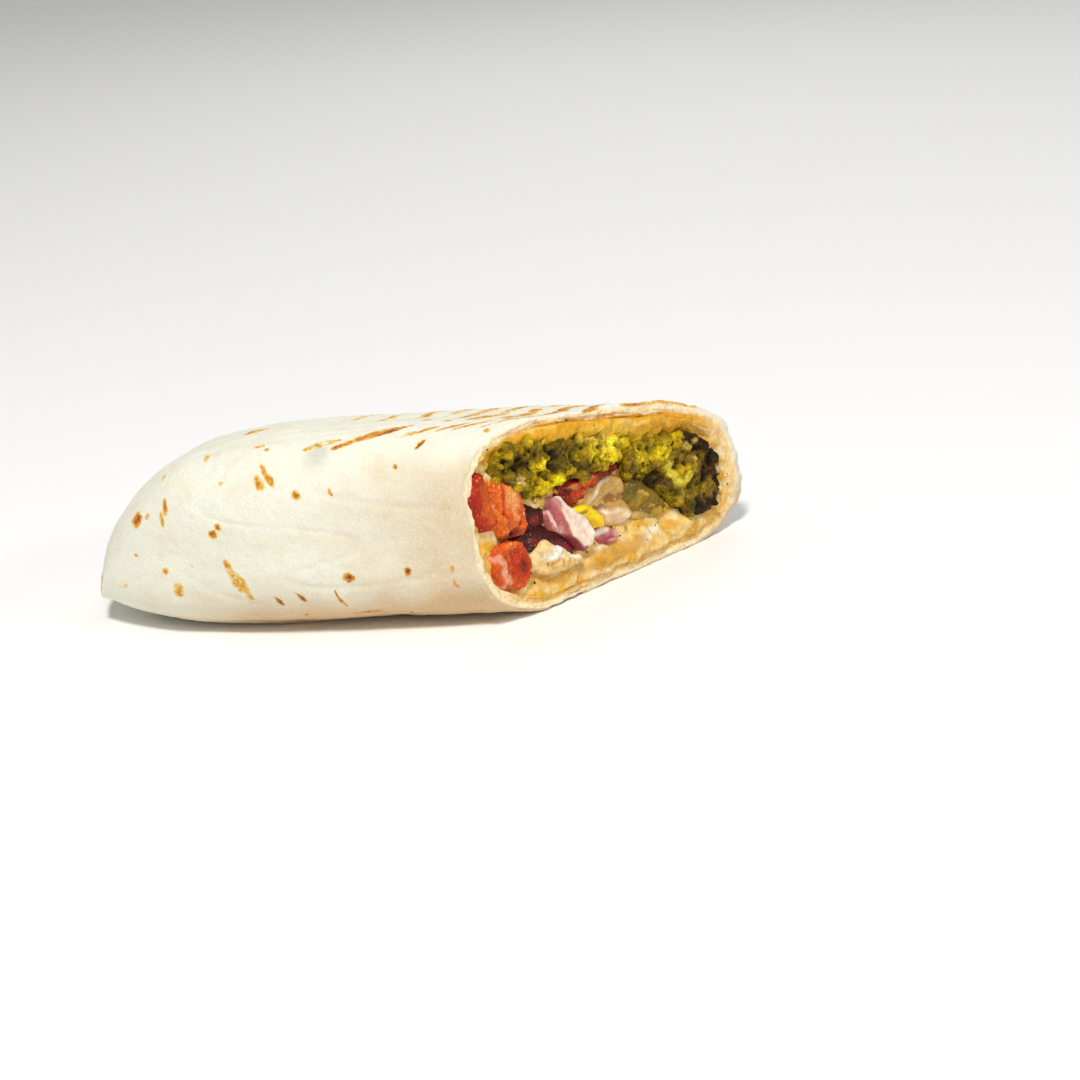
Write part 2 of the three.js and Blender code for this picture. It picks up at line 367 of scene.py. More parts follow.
class Finish:
    """A material being built: one Principled shader and the nodes that feed it."""

    def __init__(self, name, **sockets):
        self.material = bpy.data.materials.new(name)
        self.material.use_nodes = True
        self.nodes = self.material.node_tree.nodes
        self.links = self.material.node_tree.links
        self.shader = self.nodes["Principled BSDF"]
        self.place = self.nodes.new("ShaderNodeTexCoord").outputs["Object"]
        for socket, value in sockets.items():
            self.shader.inputs[socket.replace("_", " ")].default_value = value

    def feed(self, socket, value):
        """Gives a socket a constant or another node's output."""
        if isinstance(value, bpy.types.NodeSocket):
            self.links.new(value, socket)
        elif isinstance(value, (int, float)):
            socket.default_value = value
        else:
            socket.default_value = (*value, 1)

    def noise(self, size, detail=3, roughness=0.5, distortion=0.0):
        """Soft mottling, with lumps of the given size in millimetres."""
        texture = self.nodes.new("ShaderNodeTexNoise")
        texture.inputs["Scale"].default_value = 1 / (size * MM)
        texture.inputs["Detail"].default_value = detail
        texture.inputs["Roughness"].default_value = roughness
        texture.inputs["Distortion"].default_value = distortion
        self.links.new(self.place, texture.inputs["Vector"])
        return texture.outputs["Fac"]

    def cells(self, size):
        """Rounded cells of the given size in millimetres."""
        texture = self.nodes.new("ShaderNodeTexVoronoi")
        texture.inputs["Scale"].default_value = 1 / (size * MM)
        self.links.new(self.place, texture.inputs["Vector"])
        return texture.outputs["Distance"]

    def attribute(self, name, output="Fac"):
        node = self.nodes.new("ShaderNodeAttribute")
        node.attribute_name = name
        return node.outputs[output]

    def maths(self, operation, a, b=0.0, clamp=False):
        node = self.nodes.new("ShaderNodeMath")
        node.operation = operation
        node.use_clamp = clamp
        self.feed(node.inputs[0], a)
        self.feed(node.inputs[1], b)
        return node.outputs[0]

    def ramp(self, value, stops):
        """Colours or greys along a value from 0 to 1."""
        node = self.nodes.new("ShaderNodeValToRGB")
        self.links.new(value, node.inputs["Fac"])
        elements = node.color_ramp.elements
        while len(elements) < len(stops):
            elements.new(0.5)
        for element, (position, colour) in zip(elements, stops):
            element.position = position
            element.color = (*np.broadcast_to(colour, 3), 1)
        return node.outputs["Color"]

    def mix(self, share, a, b, how="MIX"):
        node = self.nodes.new("ShaderNodeMix")
        node.data_type = "RGBA"
        node.blend_type = how
        self.feed(node.inputs["Factor"], share)
        self.feed(node.inputs[6], a)
        self.feed(node.inputs[7], b)
        return node.outputs[2]

    def colour(self, value):
        self.feed(self.shader.inputs["Base Color"], value)

    def roughness(self, value):
        self.feed(self.shader.inputs["Roughness"], value)

    def bump(self, height, distance, strength=1.0):
        """Relief finer than the mesh: distance is its depth in millimetres."""
        node = self.nodes.new("ShaderNodeBump")
        node.inputs["Strength"].default_value = strength
        node.inputs["Distance"].default_value = distance * MM
        self.links.new(height, node.inputs["Height"])
        self.links.new(node.outputs["Normal"], self.shader.inputs["Normal"])


def soften(finish, weight, radius, scale):
    """Lets light into the surface: radius is the spread of red, green and blue."""
    finish.shader.inputs["Subsurface Weight"].default_value = weight
    finish.shader.inputs["Subsurface Radius"].default_value = radius
    finish.shader.inputs["Subsurface Scale"].default_value = scale * MM


# --- Flatbread ---------------------------------------------------------------------------

# Toasted spots: station, angle, half length along the roll, half width round it, tilt in
# degrees, and how dark
SPOTS = [
    (4.5, 163, 1.5, 1.4, 0, 0.62), (8.5, 163, 1.2, 0.9, 20, 0.3), (15.5, 161, 0.8, 1.6, 15, 0.7),
    (14.4, 168, 0.6, 1.5, 20, 0.5), (40.6, 151, 0.5, 2.3, 25, 0.62),
    (39.3, 157, 0.9, 1.6, 25, 0.55), (42, 156, 0.5, 1.6, 20, 0.5), (47.3, 165, 0.7, 0.9, 25, 0.7),
    (54.5, 164, 0.4, 0.8, 20, 0.5), (28, 177, 0.8, 0.8, 0, 0.8), (29.4, 175, 0.6, 0.8, 30, 0.6),
    (30.5, 153, 0.6, 0.5, 0, 0.4), (13.5, 133, 0.8, 1.6, 10, 0.4), (26.5, 126, 0.8, 2.2, 10, 0.35),
    (38.3, 125, 1.2, 0.6, 0, 0.5), (40.2, 130, 0.6, 0.5, 0, 0.55), (68, 151, 0.4, 0.5, 0, 0.75),
    (87, 122, 0.8, 0.9, 0, 0.45), (6, 180, 0.6, 0.4, 0, 0.5), (15, 184, 0.8, 0.8, 0, 0.5),
    (22, 182.5, 0.5, 0.4, 0, 0.4), (18, 193, 1.2, 1.7, 0, 0.45), (56.5, 189, 1.0, 1.0, 0, 0.78),
    (69, 188, 0.6, 1.0, 0, 0.8), (78.6, 188, 0.5, 1.0, 0, 0.45), (79.2, 195, 0.5, 1.1, 20, 0.42),
    (68, 221, 0.5, 1.1, 20, 0.7), (45, 219, 0.4, 0.8, -20, 0.5), (84.5, 232, 2.4, 1.5, 0, 0.35),
    (66, 249, 0.8, 1.0, 20, 0.5), (43, 250, 1.0, 0.9, 20, 0.5), (73, 100, 1.2, 1.3, 0, 0.6),
    (77.5, 104, 1.0, 0.8, 0, 0.6), (83, 102, 1.4, 0.9, 20, 0.65), (87, 95, 1.5, 1.1, 20, 0.7),
    (90.7, 105, 1.2, 0.6, 20, 0.6), (95, 103.5, 1.0, 0.7, 0, 0.55), (69.5, 236, 0.6, 0.8, 0, 0.4),
    (60, 176, 0.3, 0.3, 0, 0.4), (50, 179, 0.4, 0.3, 0, 0.3), (3, 195, 1.6, 1.0, 0, 0.3),
    (99, 240, 2.2, 1.2, 0, 0.35), (35, 98, 2.6, 2.0, 20, 0.5), (30, 35, 1.6, 1.2, 0, 0.7),
    (52, 12, 1.1, 1.3, 0, 0.7), (74, 20, 1.4, 0.8, 15, 0.6), (95, 8, 1.0, 1.5, 0, 0.75),
    (113, 22, 1.3, 1.0, 0, 0.7), (64, -8, 0.7, 1.7, 20, 0.6), (84, -14, 0.9, 1.2, 0, 0.7),
    (104, -10, 0.5, 1.7, -15, 0.6), (40, -2, 1.2, 0.9, 0, 0.5), (22, 10, 1.0, 1.4, 0, 0.5),
    (121, 2, 1.0, 1.2, 0, 0.6), (12, 30, 1.2, 0.9, 0, 0.5),
]
# Tapered streaks: station and angle of both ends, half width, and how dark
STREAKS = [
    (54.5, 133, 70.7, 110.5, 1.0, 0.6), (62, 124, 69.5, 113.5, 0.8, 0.72),
    (48.5, 132.5, 55.5, 124, 1.1, 0.36), (69, 125.5, 72.2, 120.5, 0.6, 0.5),
    (72, 123, 76.5, 113.5, 0.6, 0.52), (76, 120.5, 82.5, 109.5, 0.55, 0.55),
    (79.5, 119, 88, 106, 0.5, 0.55), (85.5, 117, 96, 101.5, 0.5, 0.5),
    (72.3, 137.5, 74, 130, 0.4, 0.8), (30.0, 182.0, 34.2, 200.5, 1.3, 0.42),
    (39.6, 199, 41, 206, 0.5, 0.78), (44.5, 196.5, 46, 203, 0.45, 0.78),
    (52.8, 196, 54.6, 208.5, 0.35, 0.66), (55.5, 218.5, 62, 216, 0.55, 0.5),
    (53, 250.5, 59.5, 248.5, 0.8, 0.5), (43, 235.5, 46.5, 232.5, 0.8, 0.5),
]
# Strokes of the grill's bars over the top: station on the crown, reach down the near side
# and the far side in degrees, half width, and how dark
BARS = [
    (60, 97, 60, 1.3, 0.34), (68, 99, 55, 1.5, 0.4), (76, 101, 52, 1.6, 0.46),
    (82, 101, 50, 1.5, 0.5), (88, 102, 48, 1.6, 0.52), (94, 103, 46, 1.7, 0.55),
    (100, 103, 44, 1.7, 0.56), (106, 103, 44, 1.5, 0.52), (112, 101, 42, 1.7, 0.56),
    (118, 98, 42, 1.7, 0.56), (124, 94, 44, 1.4, 0.5),
]
BAR_SLANT = -0.45           # millimetres along the roll for each degree round it
GREY_PATCH = (51.5, 138, 2.6, 3.4)

# The cut end's colours
CRUMB = srgb(242, 206, 140)
CREAM = srgb(250, 236, 204)
GOLD = srgb(224, 166, 28)
AMBER = srgb(208, 144, 4)
SCORCH = srgb(176, 96, 24)
RIM_DABS = [
    (-10, 39.6, 30, 2.8, -9, GOLD, 0.8), (14, 33.8, 22, 2.6, -16, GOLD, 0.8),
    (-33, 38.5, 6, 2.2, 30, GOLD, 0.55), (26, 30.5, 9, 2.2, -22, GOLD, 0.5),
    (-14, 39.2, 14, 1.2, -10, AMBER, 0.7), (10, 34.6, 12, 1.2, -14, AMBER, 0.6),
    (-40.8, 20, 1.3, 8, 8, GOLD, 0.6), (-37, 12, 1.6, 6, 22, CREAM, 0.8),
    (-39, 24, 0.8, 5, 8, CREAM, 0.8), (-34, 42.6, 4.5, 1.2, 8, CREAM, 0.95),
    (-3, 38.6, 3.5, 0.8, -14, CREAM, 0.8), (14, 34.9, 4, 0.6, -16, CREAM, 0.7),
    (-25, 41.2, 5, 0.7, -4, SCORCH, 0.5), (-17, 41.5, 3, 0.6, 8, SCORCH, 0.6),
    (-6, 40.2, 4, 0.5, -10, SCORCH, 0.6), (8, 38.2, 3, 0.5, -14, SCORCH, 0.55),
    (38.5, 16, 1.4, 10, 0, CREAM, 0.35), (36.5, 24, 1.0, 4, -20, CREAM, 0.4),
    (-20, 4.2, 12, 1.6, 0, GOLD, 0.5), (0, 3.2, 6, 0.8, 4, GOLD, 0.6),
    (18, 4.6, 9, 0.7, 6, GOLD, 0.45), (36.2, 9, 0.6, 0.5, 0, SCORCH, 0.8),
    (33, 5.6, 0.5, 0.4, 0, SCORCH, 0.8),
]


def girth_table():
    """Angles over three turns of the section, and the turns of its girth walked at each."""
    angles = np.linspace(-360, 720, GIRTH_STEPS + 1)
    y, z = section(np.full_like(angles, GIRTH_STATION), angles, 0.0)
    steps = np.hypot(np.diff(y), np.diff(z))
    walked = np.concatenate([[0], np.cumsum(steps)])
    return angles, 3 * walked / walked[-1] - 1


ANGLES, WALKED = girth_table()


def round_at(turn):
    """The angle reached at each station, an even walk round from the flatbread's loose edge."""
    at_tip, at_cut = np.interp([FLAP_AT_TIP, FLAP_AT_CUT], ANGLES, WALKED)

    def angle_at(station):
        start = blend(at_tip, at_cut, np.clip(station / LENGTH, 0, 1))
        return np.interp(start + NEARLY_A_TURN * turn, WALKED, ANGLES)
    return angle_at


def skin_point(station, angle):
    return np.array([station, *section(station, angle, 0)], float)


def spot_toast(points):
    toast = np.zeros(len(points))
    for station, angle, length, width, tilt, dark in SPOTS:
        here = skin_point(station, angle)
        around = skin_point(station, angle - 1) - here
        offset = points - here
        along, across = offset[:, 0], offset @ (around / np.linalg.norm(around))
        lean = math.radians(tilt)
        u = (along * math.cos(lean) + across * math.sin(lean)) / length
        v = (across * math.cos(lean) - along * math.sin(lean)) / width
        near = np.linalg.norm(offset, axis=1) < 3 * max(length, width)
        toast = np.maximum(toast, near * dark * smooth(1.9, 0.3, np.hypot(u, v)))
    return toast


def streak_toast(points):
    toast = np.zeros(len(points))
    for station, angle, end_station, end_angle, width, dark in STREAKS:
        start, end = skin_point(station, angle), skin_point(end_station, end_angle)
        share = np.clip((points - start) @ (end - start) / ((end - start) ** 2).sum(), 0, 1)
        apart = np.linalg.norm(points - start - share[:, None] * (end - start), axis=1)
        taper = 1.2 * width * (0.45 + 1.1 * np.minimum(share, 1.3 * (1 - share)))
        toast = np.maximum(toast, dark * smooth(1.7, 0.3, apart / taper))
    return toast


def bar_toast(points, angles):
    toast = np.zeros(len(points))
    crown = (angles + 180) % 360 - 180
    broken = 0.35 + 0.65 * smooth(-0.8, 0.0, rough(points * (0.6, 1, 1), 8, 2, 37))
    wander = 0.6 * noise(points, 5, 31)
    for station, near, far, width, dark in BARS:
        across = np.abs(points[:, 0] - station - BAR_SLANT * (crown - 80) + wander) / width
        ends = smooth(far - 8, far + 6, crown) * smooth(near + 5, near - 6, crown)
        toast = np.maximum(toast, dark * ends * broken * smooth(1.35, 0.25, across))
    under = angles % 360
    pitch = np.abs(((points[:, 0] + 0.35 * points[:, 1]) / 6.4) % 1 - 0.5)
    pressed = smooth(250, 262, under) * smooth(306, 290, under) * smooth(20, 34, points[:, 0])
    worn = smooth(-0.5, 0.2, rough(points, 9, 2, 41))
    return np.maximum(toast, 0.6 * pressed * worn * smooth(0.3, 0.08, pitch))


def toast_of(points, angles):
    """How toasted each point of the skin is."""
    marks = np.maximum(spot_toast(points), streak_toast(points))
    return np.maximum(marks, bar_toast(points, angles))


def skin_relief(points, toast):
    """How far the skin stands out: the fillings' lumps, soft creases and toasted blisters."""
    drawn = points * (0.55, 1, 1)
    lumps = 0.75 * noise(drawn, 17, 3) + 0.32 * noise(drawn, 8, 4)
    creases = -0.2 * smooth(0.14, 0.0, np.abs(noise(points * (0.22, 1, 1), 9, 5)))
    pebbles = 0.07 * noise(points, 2.2, 6) + 0.035 * noise(points, 1.1, 7)
    blisters = 0.22 * smooth(0.35, 0.8, noise(points, 4.2, 8))
    scorched = 0.1 * smooth(0.1, 0.4, toast) - 0.2 * smooth(0.4, 0.8, toast)
    return lumps + creases + pebbles + blisters + scorched


def skin_tint(points, angles):
    """Cream, with painted shade underneath and towards the cut, and faint mottling, stronger there.
    """
    # Painted shade: the underside and the near side by the cut are painted darker and warmer
    around = angles % 360 + 9 * noise(points, 12, 59)
    under = smooth(186, 226, around) * smooth(362, 322, around)
    to_cut = smooth(34, 3, before_cut(points) + 6 * noise(points, 9, 58))
    front = smooth(130, 160, around) * smooth(362, 322, around)
    painted_shade = np.clip(0.95 * under * smooth(0, 40, points[:, 0]) + 0.6 * to_cut * front, 0, 1)
    tint = blend(srgb(236, 235, 219), srgb(213, 182, 140), painted_shade[:, None])
    mottle = smooth(-0.2, 0.9, rough(points, 6, 3, 60))
    tint = blend(tint, srgb(220, 190, 142), ((0.18 + 0.32 * painted_shade) * mottle)[:, None])
    station, angle, length, width = GREY_PATCH
    apart = np.linalg.norm((points - skin_point(station, angle)) / (length, width, width), axis=1)
    grey = 0.6 * smooth(1.4, 0.3, apart + 0.3 * noise(points, 2, 62))
    return blend(tint, srgb(192, 188, 176), grey[:, None])


def on_ring(turn, inward):
    """Points for noise that runs on evenly round the roll, and inwards through its layers."""
    angle = 2 * math.pi * turn
    return np.stack([RING * np.cos(angle), RING * np.sin(angle), inward], axis=1)


def rim_relief(turn, depth, wall, points):
    """How far the cut end of each rolled layer stands out, with the gaps between layers."""
    ring = on_ring(turn, 0 * turn)
    stands = 0.4 * noise(ring, 9, 11)
    gaps = np.zeros(len(turn))
    for layer in (1, 2, 3):
        edge = layer * SHEET + 0.5 * noise(ring, 14, 20 + layer) + 0.2 * noise(ring, 3, 30 + layer)
        inner = smooth(-0.3, 0.3, depth - edge)
        stands += inner * (0.8 * noise(ring, 10, 40 + layer) - 0.25)
        open_here = 0.05 + 1.6 * smooth(0.25, 0.7, noise(ring, 9, 50 + layer))
        gaps -= open_here * np.exp(-(((depth - edge) / (0.16 + 0.06 * open_here)) ** 2))
    gaps *= smooth(wall, wall - 0.5, depth)
    strands = 0.3 * noise(on_ring(turn, 5 * depth), 2.4, 56)
    crumb = 0.45 * rough(points, 2.6, 4, 12) + strands
    rounded = -0.5 * smooth(0.7, 0.0, depth) - 0.2 * smooth(wall - 0.9, wall, depth)
    return stands + gaps + crumb + rounded


def rim_tint(turn, depth, points):
    """The cut crumb: cream outside, soaked golden inside, in strands along the layers."""
    ring = on_ring(turn, 4 * depth)
    strands = smooth(-0.7, 0.7, rough(ring, 3.2, 3, 65))
    tint = blend(CRUMB, srgb(228, 182, 98), strands[:, None])
    tint = dabbed(points, tint, RIM_DABS, 0.9, 67)
    outer = smooth(2.3, 0.7, depth + 0.7 * noise(ring, 5, 66) + 0.5 * smooth(12, 30, points[:, 1]))
    tint = blend(tint, CREAM, (0.92 * outer)[:, None])
    pale = smooth(0.25, 0.8, noise(ring, 5, 71))
    return blend(tint, CREAM, (0.5 * pale)[:, None])


def slumped_tip(points):
    """The folded end leans back over its lower edge."""
    near_tip = smooth(24, -5, points[..., 0])
    moved = points.copy()
    moved[..., 0] += TIP_SLUMP * np.maximum(0, points[..., 2] - TIP_SLUMP_ABOVE) * near_tip
    return moved


def skin_rows(turn):
    """Rows of the outer skin from the folded tip to the lip of the cut."""
    tucked = np.clip((turn - 1 + FLAP_RAMP) / FLAP_RAMP, 0, 1) ** 2
    lip_of_flap = 0.5 * (turn < 0.5 / SKIN_COLUMNS)
    shares = np.linspace(0, 1, SKIN_ROWS + 1)
    shares = 0.35 * shares + 0.65 * (1 - (1 - shares) ** 1.5)
    rows = []
    for share in shares:
        base = settle(round_at(turn), 0 * turn, share, 0, SKIN_START)
        along = np.clip(base[:, 0] / LENGTH, 0, 1)
        under = along * (SHEET * tucked + lip_of_flap)
        to_cut = before_cut(base)
        angles = round_at(turn)(base[:, 0])
        toast = toast_of(base, angles)
        relief = skin_relief(base, toast) * smooth(-4, 12, base[:, 0])
        flare = 0.5 * smooth(9, 0, to_cut) * (0.4 + noise(base, 12, 9))
        lip = 0.45 * smooth(0.7, 0, to_cut) ** 2
        edge = (0.5 * noise(base, 7, 10) + 0.4 * noise(base, 2.6, 16)) * smooth(5, 0, to_cut)
        depth = under - relief - flare + lip - SKIN_PROUD
        point = settle(round_at(turn), depth, share, edge, SKIN_START)
        rows.append((point, skin_tint(base, angles), toast, 0 * turn))
    return rows


def tip_rows(turn, first):
    """The folded end: the first ring drawn in to a soft pleated point."""
    ring, tint, toast, _ = first
    centre = ring.mean(axis=0) + (0, 0, -1.5)
    rows = []
    for share in np.linspace(0, 1, TIP_ROWS + 1)[:-1]:
        drawn = centre + (ring - centre) * share
        bulge = 2.6 * (1 - share ** 2.6)
        from_fold = drawn[:, 2] - centre[2] - 0.15 * (drawn[:, 1] - centre[1]) + 0.8
        fold = smooth(0.9, 0.0, np.abs(from_fold))
        pleats = 0.35 * noise(drawn, 3.5, 13)
        folded = (1.1 * fold + pleats) * smooth(0.05, 0.4, share) * (1 - share ** 4)
        drawn[:, 0] = ring[:, 0] - bulge + folded
        golden = 0.34 * smooth(0.5, 0.9, share) * smooth(9, 5, drawn[:, 2] - ring[:, 2].min())
        rows.append((drawn, tint, np.maximum(toast, golden), 0 * turn))
    rows[0][0][:] = rows[0][0].mean(axis=0)
    return rows


def rim_rows(turn, lip):
    """The cut end, from the lip of the skin across the rolled layers to the pocket."""
    wall = wall_depth(round_at(turn)(lip[:, 0]))
    rows = []
    for share in np.linspace(0, 1, RIM_ROWS + 1)[1:]:
        depth = blend(0.45, wall, share)
        base = settle(round_at(turn), depth, 1.0)
        point = settle(round_at(turn), depth, 1.0, rim_relief(turn, depth, wall, base))
        edge = smooth(0, 2.2 / RIM_ROWS, share) + 0 * turn
        rows.append((point, rim_tint(turn, depth, base), 0 * turn, edge))
    return rows


def pocket_rows(turn, wall):
    """The pocket's wall, back from the cut, closed at its far end."""
    rows = []
    for share in np.linspace(1, 0, WALL_ROWS + 1)[1:]:
        point = settle(round_at(turn), wall, share, -1.5, POCKET_START)
        rows.append((point, np.broadcast_to(GOLD, point.shape), 0 * turn, 0 * turn + 1))
    centre = np.broadcast_to(rows[-1][0].mean(axis=0), rows[-1][0].shape)
    rows.append((centre.copy(), *rows[-1][1:]))
    return rows


def flatbread_piece():
    turn = np.append(np.linspace(0, 1, SKIN_COLUMNS), 0.0)
    skins = skin_rows(turn)
    lip = skins[-1][0]
    rows = tip_rows(turn, skins[0]) + skins + rim_rows(turn, lip)
    rows += pocket_rows(turn, wall_depth(round_at(turn)(lip[:, 0])))
    points, tint, toast, rim = (np.stack(part) for part in zip(*rows))
    points = slumped_tip(points)
    points[:, -1] = points[:, 0]
    points[..., 2] = np.maximum(points[..., 2], FLOOR_GAP)
    piece = wrapped_grid("flatbread_roll", points,
                         tint=tint, toast=toast[..., None], rim=rim[..., None])
    return keep(piece, flatbread_finish(), "flatbread", "flatbread")


def flatbread_finish():
    finish = Finish("toasted_flatbread", Roughness=0.6, IOR=1.45, Specular_IOR_Level=0.15)
    tint = finish.attribute("tint", "Color")
    toast = finish.attribute("toast")
    fine = finish.maths("MULTIPLY", finish.maths("SUBTRACT", finish.noise(0.9, 4, 0.6), 0.5), 1.1)
    broad = finish.maths("MULTIPLY", finish.maths("SUBTRACT", finish.noise(3.2, 3, 0.55), 0.5), 0.9)
    near = finish.maths("MULTIPLY", toast, 3.5, clamp=True)
    uneven = finish.maths("ADD", toast, finish.maths("ADD", fine, broad))
    browning = finish.maths("MULTIPLY", uneven, near, clamp=True)
    brown = finish.ramp(browning, [
        (0.12, (1, 1, 1)), (0.26, srgb(253, 228, 160)), (0.42, srgb(243, 188, 82)),
        (0.58, srgb(224, 146, 40)), (0.76, srgb(184, 102, 22)), (0.95, srgb(124, 60, 12))])
    toasted = finish.mix(1.0, tint, brown, "MULTIPLY")
    flour = finish.ramp(finish.noise(0.42, 2, 0.6), [(0.5, (0, 0, 0)), (0.72, (1, 1, 1))])
    grainy = finish.ramp(finish.noise(0.7, 3, 0.7), [(0.32, (0.9, 0.87, 0.8)), (0.56, (1, 1, 1))])
    toasted = finish.mix(0.5, toasted, grainy, "MULTIPLY")
    floured = finish.mix(finish.maths("MULTIPLY", flour, 0.25), toasted, srgb(253, 250, 240))
    rim = finish.attribute("rim")
    moist = finish.ramp(finish.noise(0.8, 4, 0.65), [
        (0.28, (0.8, 0.7, 0.5)), (0.6, (1.08, 1.07, 1.02))])
    crumb = finish.mix(1.0, tint, moist, "MULTIPLY")
    finish.colour(finish.mix(rim, floured, crumb))
    finish.roughness(finish.maths("SUBTRACT", 0.62, finish.maths("MULTIPLY", rim, 0.24)))
    dimples = finish.maths("MULTIPLY", finish.noise(2.0, 2, 0.5), 0.8)
    grain = finish.maths("ADD", finish.noise(0.5, 4, 0.65), dimples)
    finish.bump(grain, 0.24, 0.8)
    soften(finish, 0.2, (1.0, 0.62, 0.32), 2.0)
    return finish.material


# --- Fillings ----------------------------------------------------------------------------

# Tones shared by the dabs below
LIME = srgb(236, 206, 14)
LEAF = srgb(178, 148, 8)
OLIVE = srgb(124, 98, 6)
MOSS = srgb(92, 72, 12)
# Near-black: painted shade in pits, dips and recesses, and once the own colour of a pepper speck
PAINTED_SHADE_AND_SPECK = srgb(34, 16, 0)
CHAR = srgb(46, 18, 4)
TOAST = srgb(96, 56, 16)
GRAIN = srgb(222, 184, 92)
PASTE = srgb(240, 206, 130)
WHITE_PASTE = srgb(250, 240, 214)
BLOOD = srgb(110, 14, 10)
RED = srgb(192, 50, 14)
ORANGE = srgb(234, 118, 32)
PEACH = srgb(248, 172, 100)
PINK = srgb(246, 180, 146)
PURPLE = srgb(166, 66, 76)
PLUM = srgb(122, 16, 30)


def front_share(points, reach=FRONT_REACH):
    """1 at the cut, falling to 0 this far behind it."""
    return smooth(reach, reach * 0.6, before_cut(points))


def along_roll(points, amount):
    moved = points.copy()
    moved[:, 0] += amount
    return moved


def hollows(mesh, steps=10):
    """How far each point lies in a dip (positive) or on a bump (negative), in millimetres."""
    points = points_of(mesh)
    calm = relax(points, edges_of(mesh), steps)
    return ((calm - points) * normals_of(mesh)).sum(axis=1)


def pit(points, pits):
    """Depth of the listed hollows in the cut face: along the cut, height, radius, depth."""
    flat = on_cut(points)
    depth = np.zeros(len(points))
    for along, height, radius, deep in pits:
        apart = np.hypot(flat[:, 0] - along, flat[:, 1] - height) / radius
        depth += deep * np.exp(-apart ** 2)
    return depth


def fleshed(node, voxel=FLESH_VOXEL, grow=0.3, rounding=3):
    """A filling from its solid: an even mesh, softened and grown to meet its neighbours."""
    piece = voxelled(node + "_flesh", solid_copy(node), voxel)
    mesh = piece.data
    move_points(mesh, relax(points_of(mesh), edges_of(mesh), rounding))
    move_points(mesh, points_of(mesh) + grow * normals_of(mesh))
    return piece


def spread(points, middle, scale, shift):
    """Points moved along the cut, in its own plane, near the cut only."""
    along = on_cut(points)[:, 0]
    moved = points.copy()
    wider = (scale - 1) * (along - middle) + shift
    across = wider * front_share(points) / math.hypot(1, CUT_SLOPE)
    moved[:, 1] += across
    moved[:, 0] += CUT_SLOPE * across
    return moved


def wet_filling(node, slot, finish, tone, dabs, lumps, pits=(), advance=0.0, place=(0, 1, 0),
                wander=0.6, **shape):
    """A piece of vegetable: its solid with lumps of each size and height, painted with dabs."""
    piece = fleshed(node, **shape)
    mesh = piece.data
    points = spread(points_of(mesh), *place)
    seed = sum(map(ord, node)) % 97
    height = sum(high * noise(points, size, seed + k) for k, (size, high) in enumerate(lumps))
    front = front_share(points)
    points = points + (height * front)[:, None] * normals_of(mesh)
    points = along_roll(points, (advance - pit(points, pits)) * front)
    move_points(mesh, points)
    paint = dabbed(points, tone, dabs, wander, seed)
    mottle = 1 + 0.2 * rough(points, 1.4, 3, seed + 9)[:, None]
    # Painted shade: darker the further a point lies back from the piece's front, and darker in its
    # hollows
    behind = before_cut(points)
    deep = smooth(1.0, 4.5, behind - np.percentile(behind, 6))[:, None]
    painted_hollow_shade = smooth(0.04, 0.4, hollows(mesh, 10))[:, None]
    set_colour(mesh, "tint", paint * mottle * (1 - 0.8 * deep) * (1 - 0.6 * painted_hollow_shade))
    return keep(piece, finish, slot, node)


def wet_finish(name, gloss, grain, size, fine, glow, spread_of_light, painted_glint_strength=0.5):
    """Wet food: its painted tint with fine mottling, a rough grain, a film and painted highlights.
    """
    finish = Finish(name, IOR=1.4, Specular_IOR_Level=0.3)
    tint = finish.attribute("tint", "Color")
    dark, light = (1 - fine, 1 - 1.15 * fine, 1 - 1.3 * fine), 1 + 0.6 * fine
    shade = finish.ramp(finish.noise(size, 4, 0.65, distortion=0.4), [(0.3, dark), (0.68, light)])
    flesh = finish.mix(1.0, tint, shade, "MULTIPLY")
    # Painted highlights: tiny whitish glints in the colour, stronger in broad patches
    painted_glint_dots = finish.ramp(finish.noise(0.5, 2, 0.5), [(0.62, 0.0), (0.7, 1.0)])
    painted_glint_patches = finish.ramp(finish.noise(3.5, 2, 0.5), [(0.42, 0.0), (0.6, painted_glint_strength)])
    flesh_with_painted_glints = finish.mix(finish.maths("MULTIPLY", painted_glint_dots, painted_glint_patches), flesh, srgb(255, 226, 178))
    finish.colour(flesh_with_painted_glints)
    finish.roughness(finish.ramp(finish.noise(0.9, 3, 0.6), [(0.35, gloss), (0.7, gloss + 0.3)]))
    relief = finish.maths("ADD", finish.cells(0.7), finish.noise(1.2, 4, 0.6))
    finish.bump(relief, grain, 0.8)
    soften(finish, glow, spread_of_light, 1.6)
    return finish.material


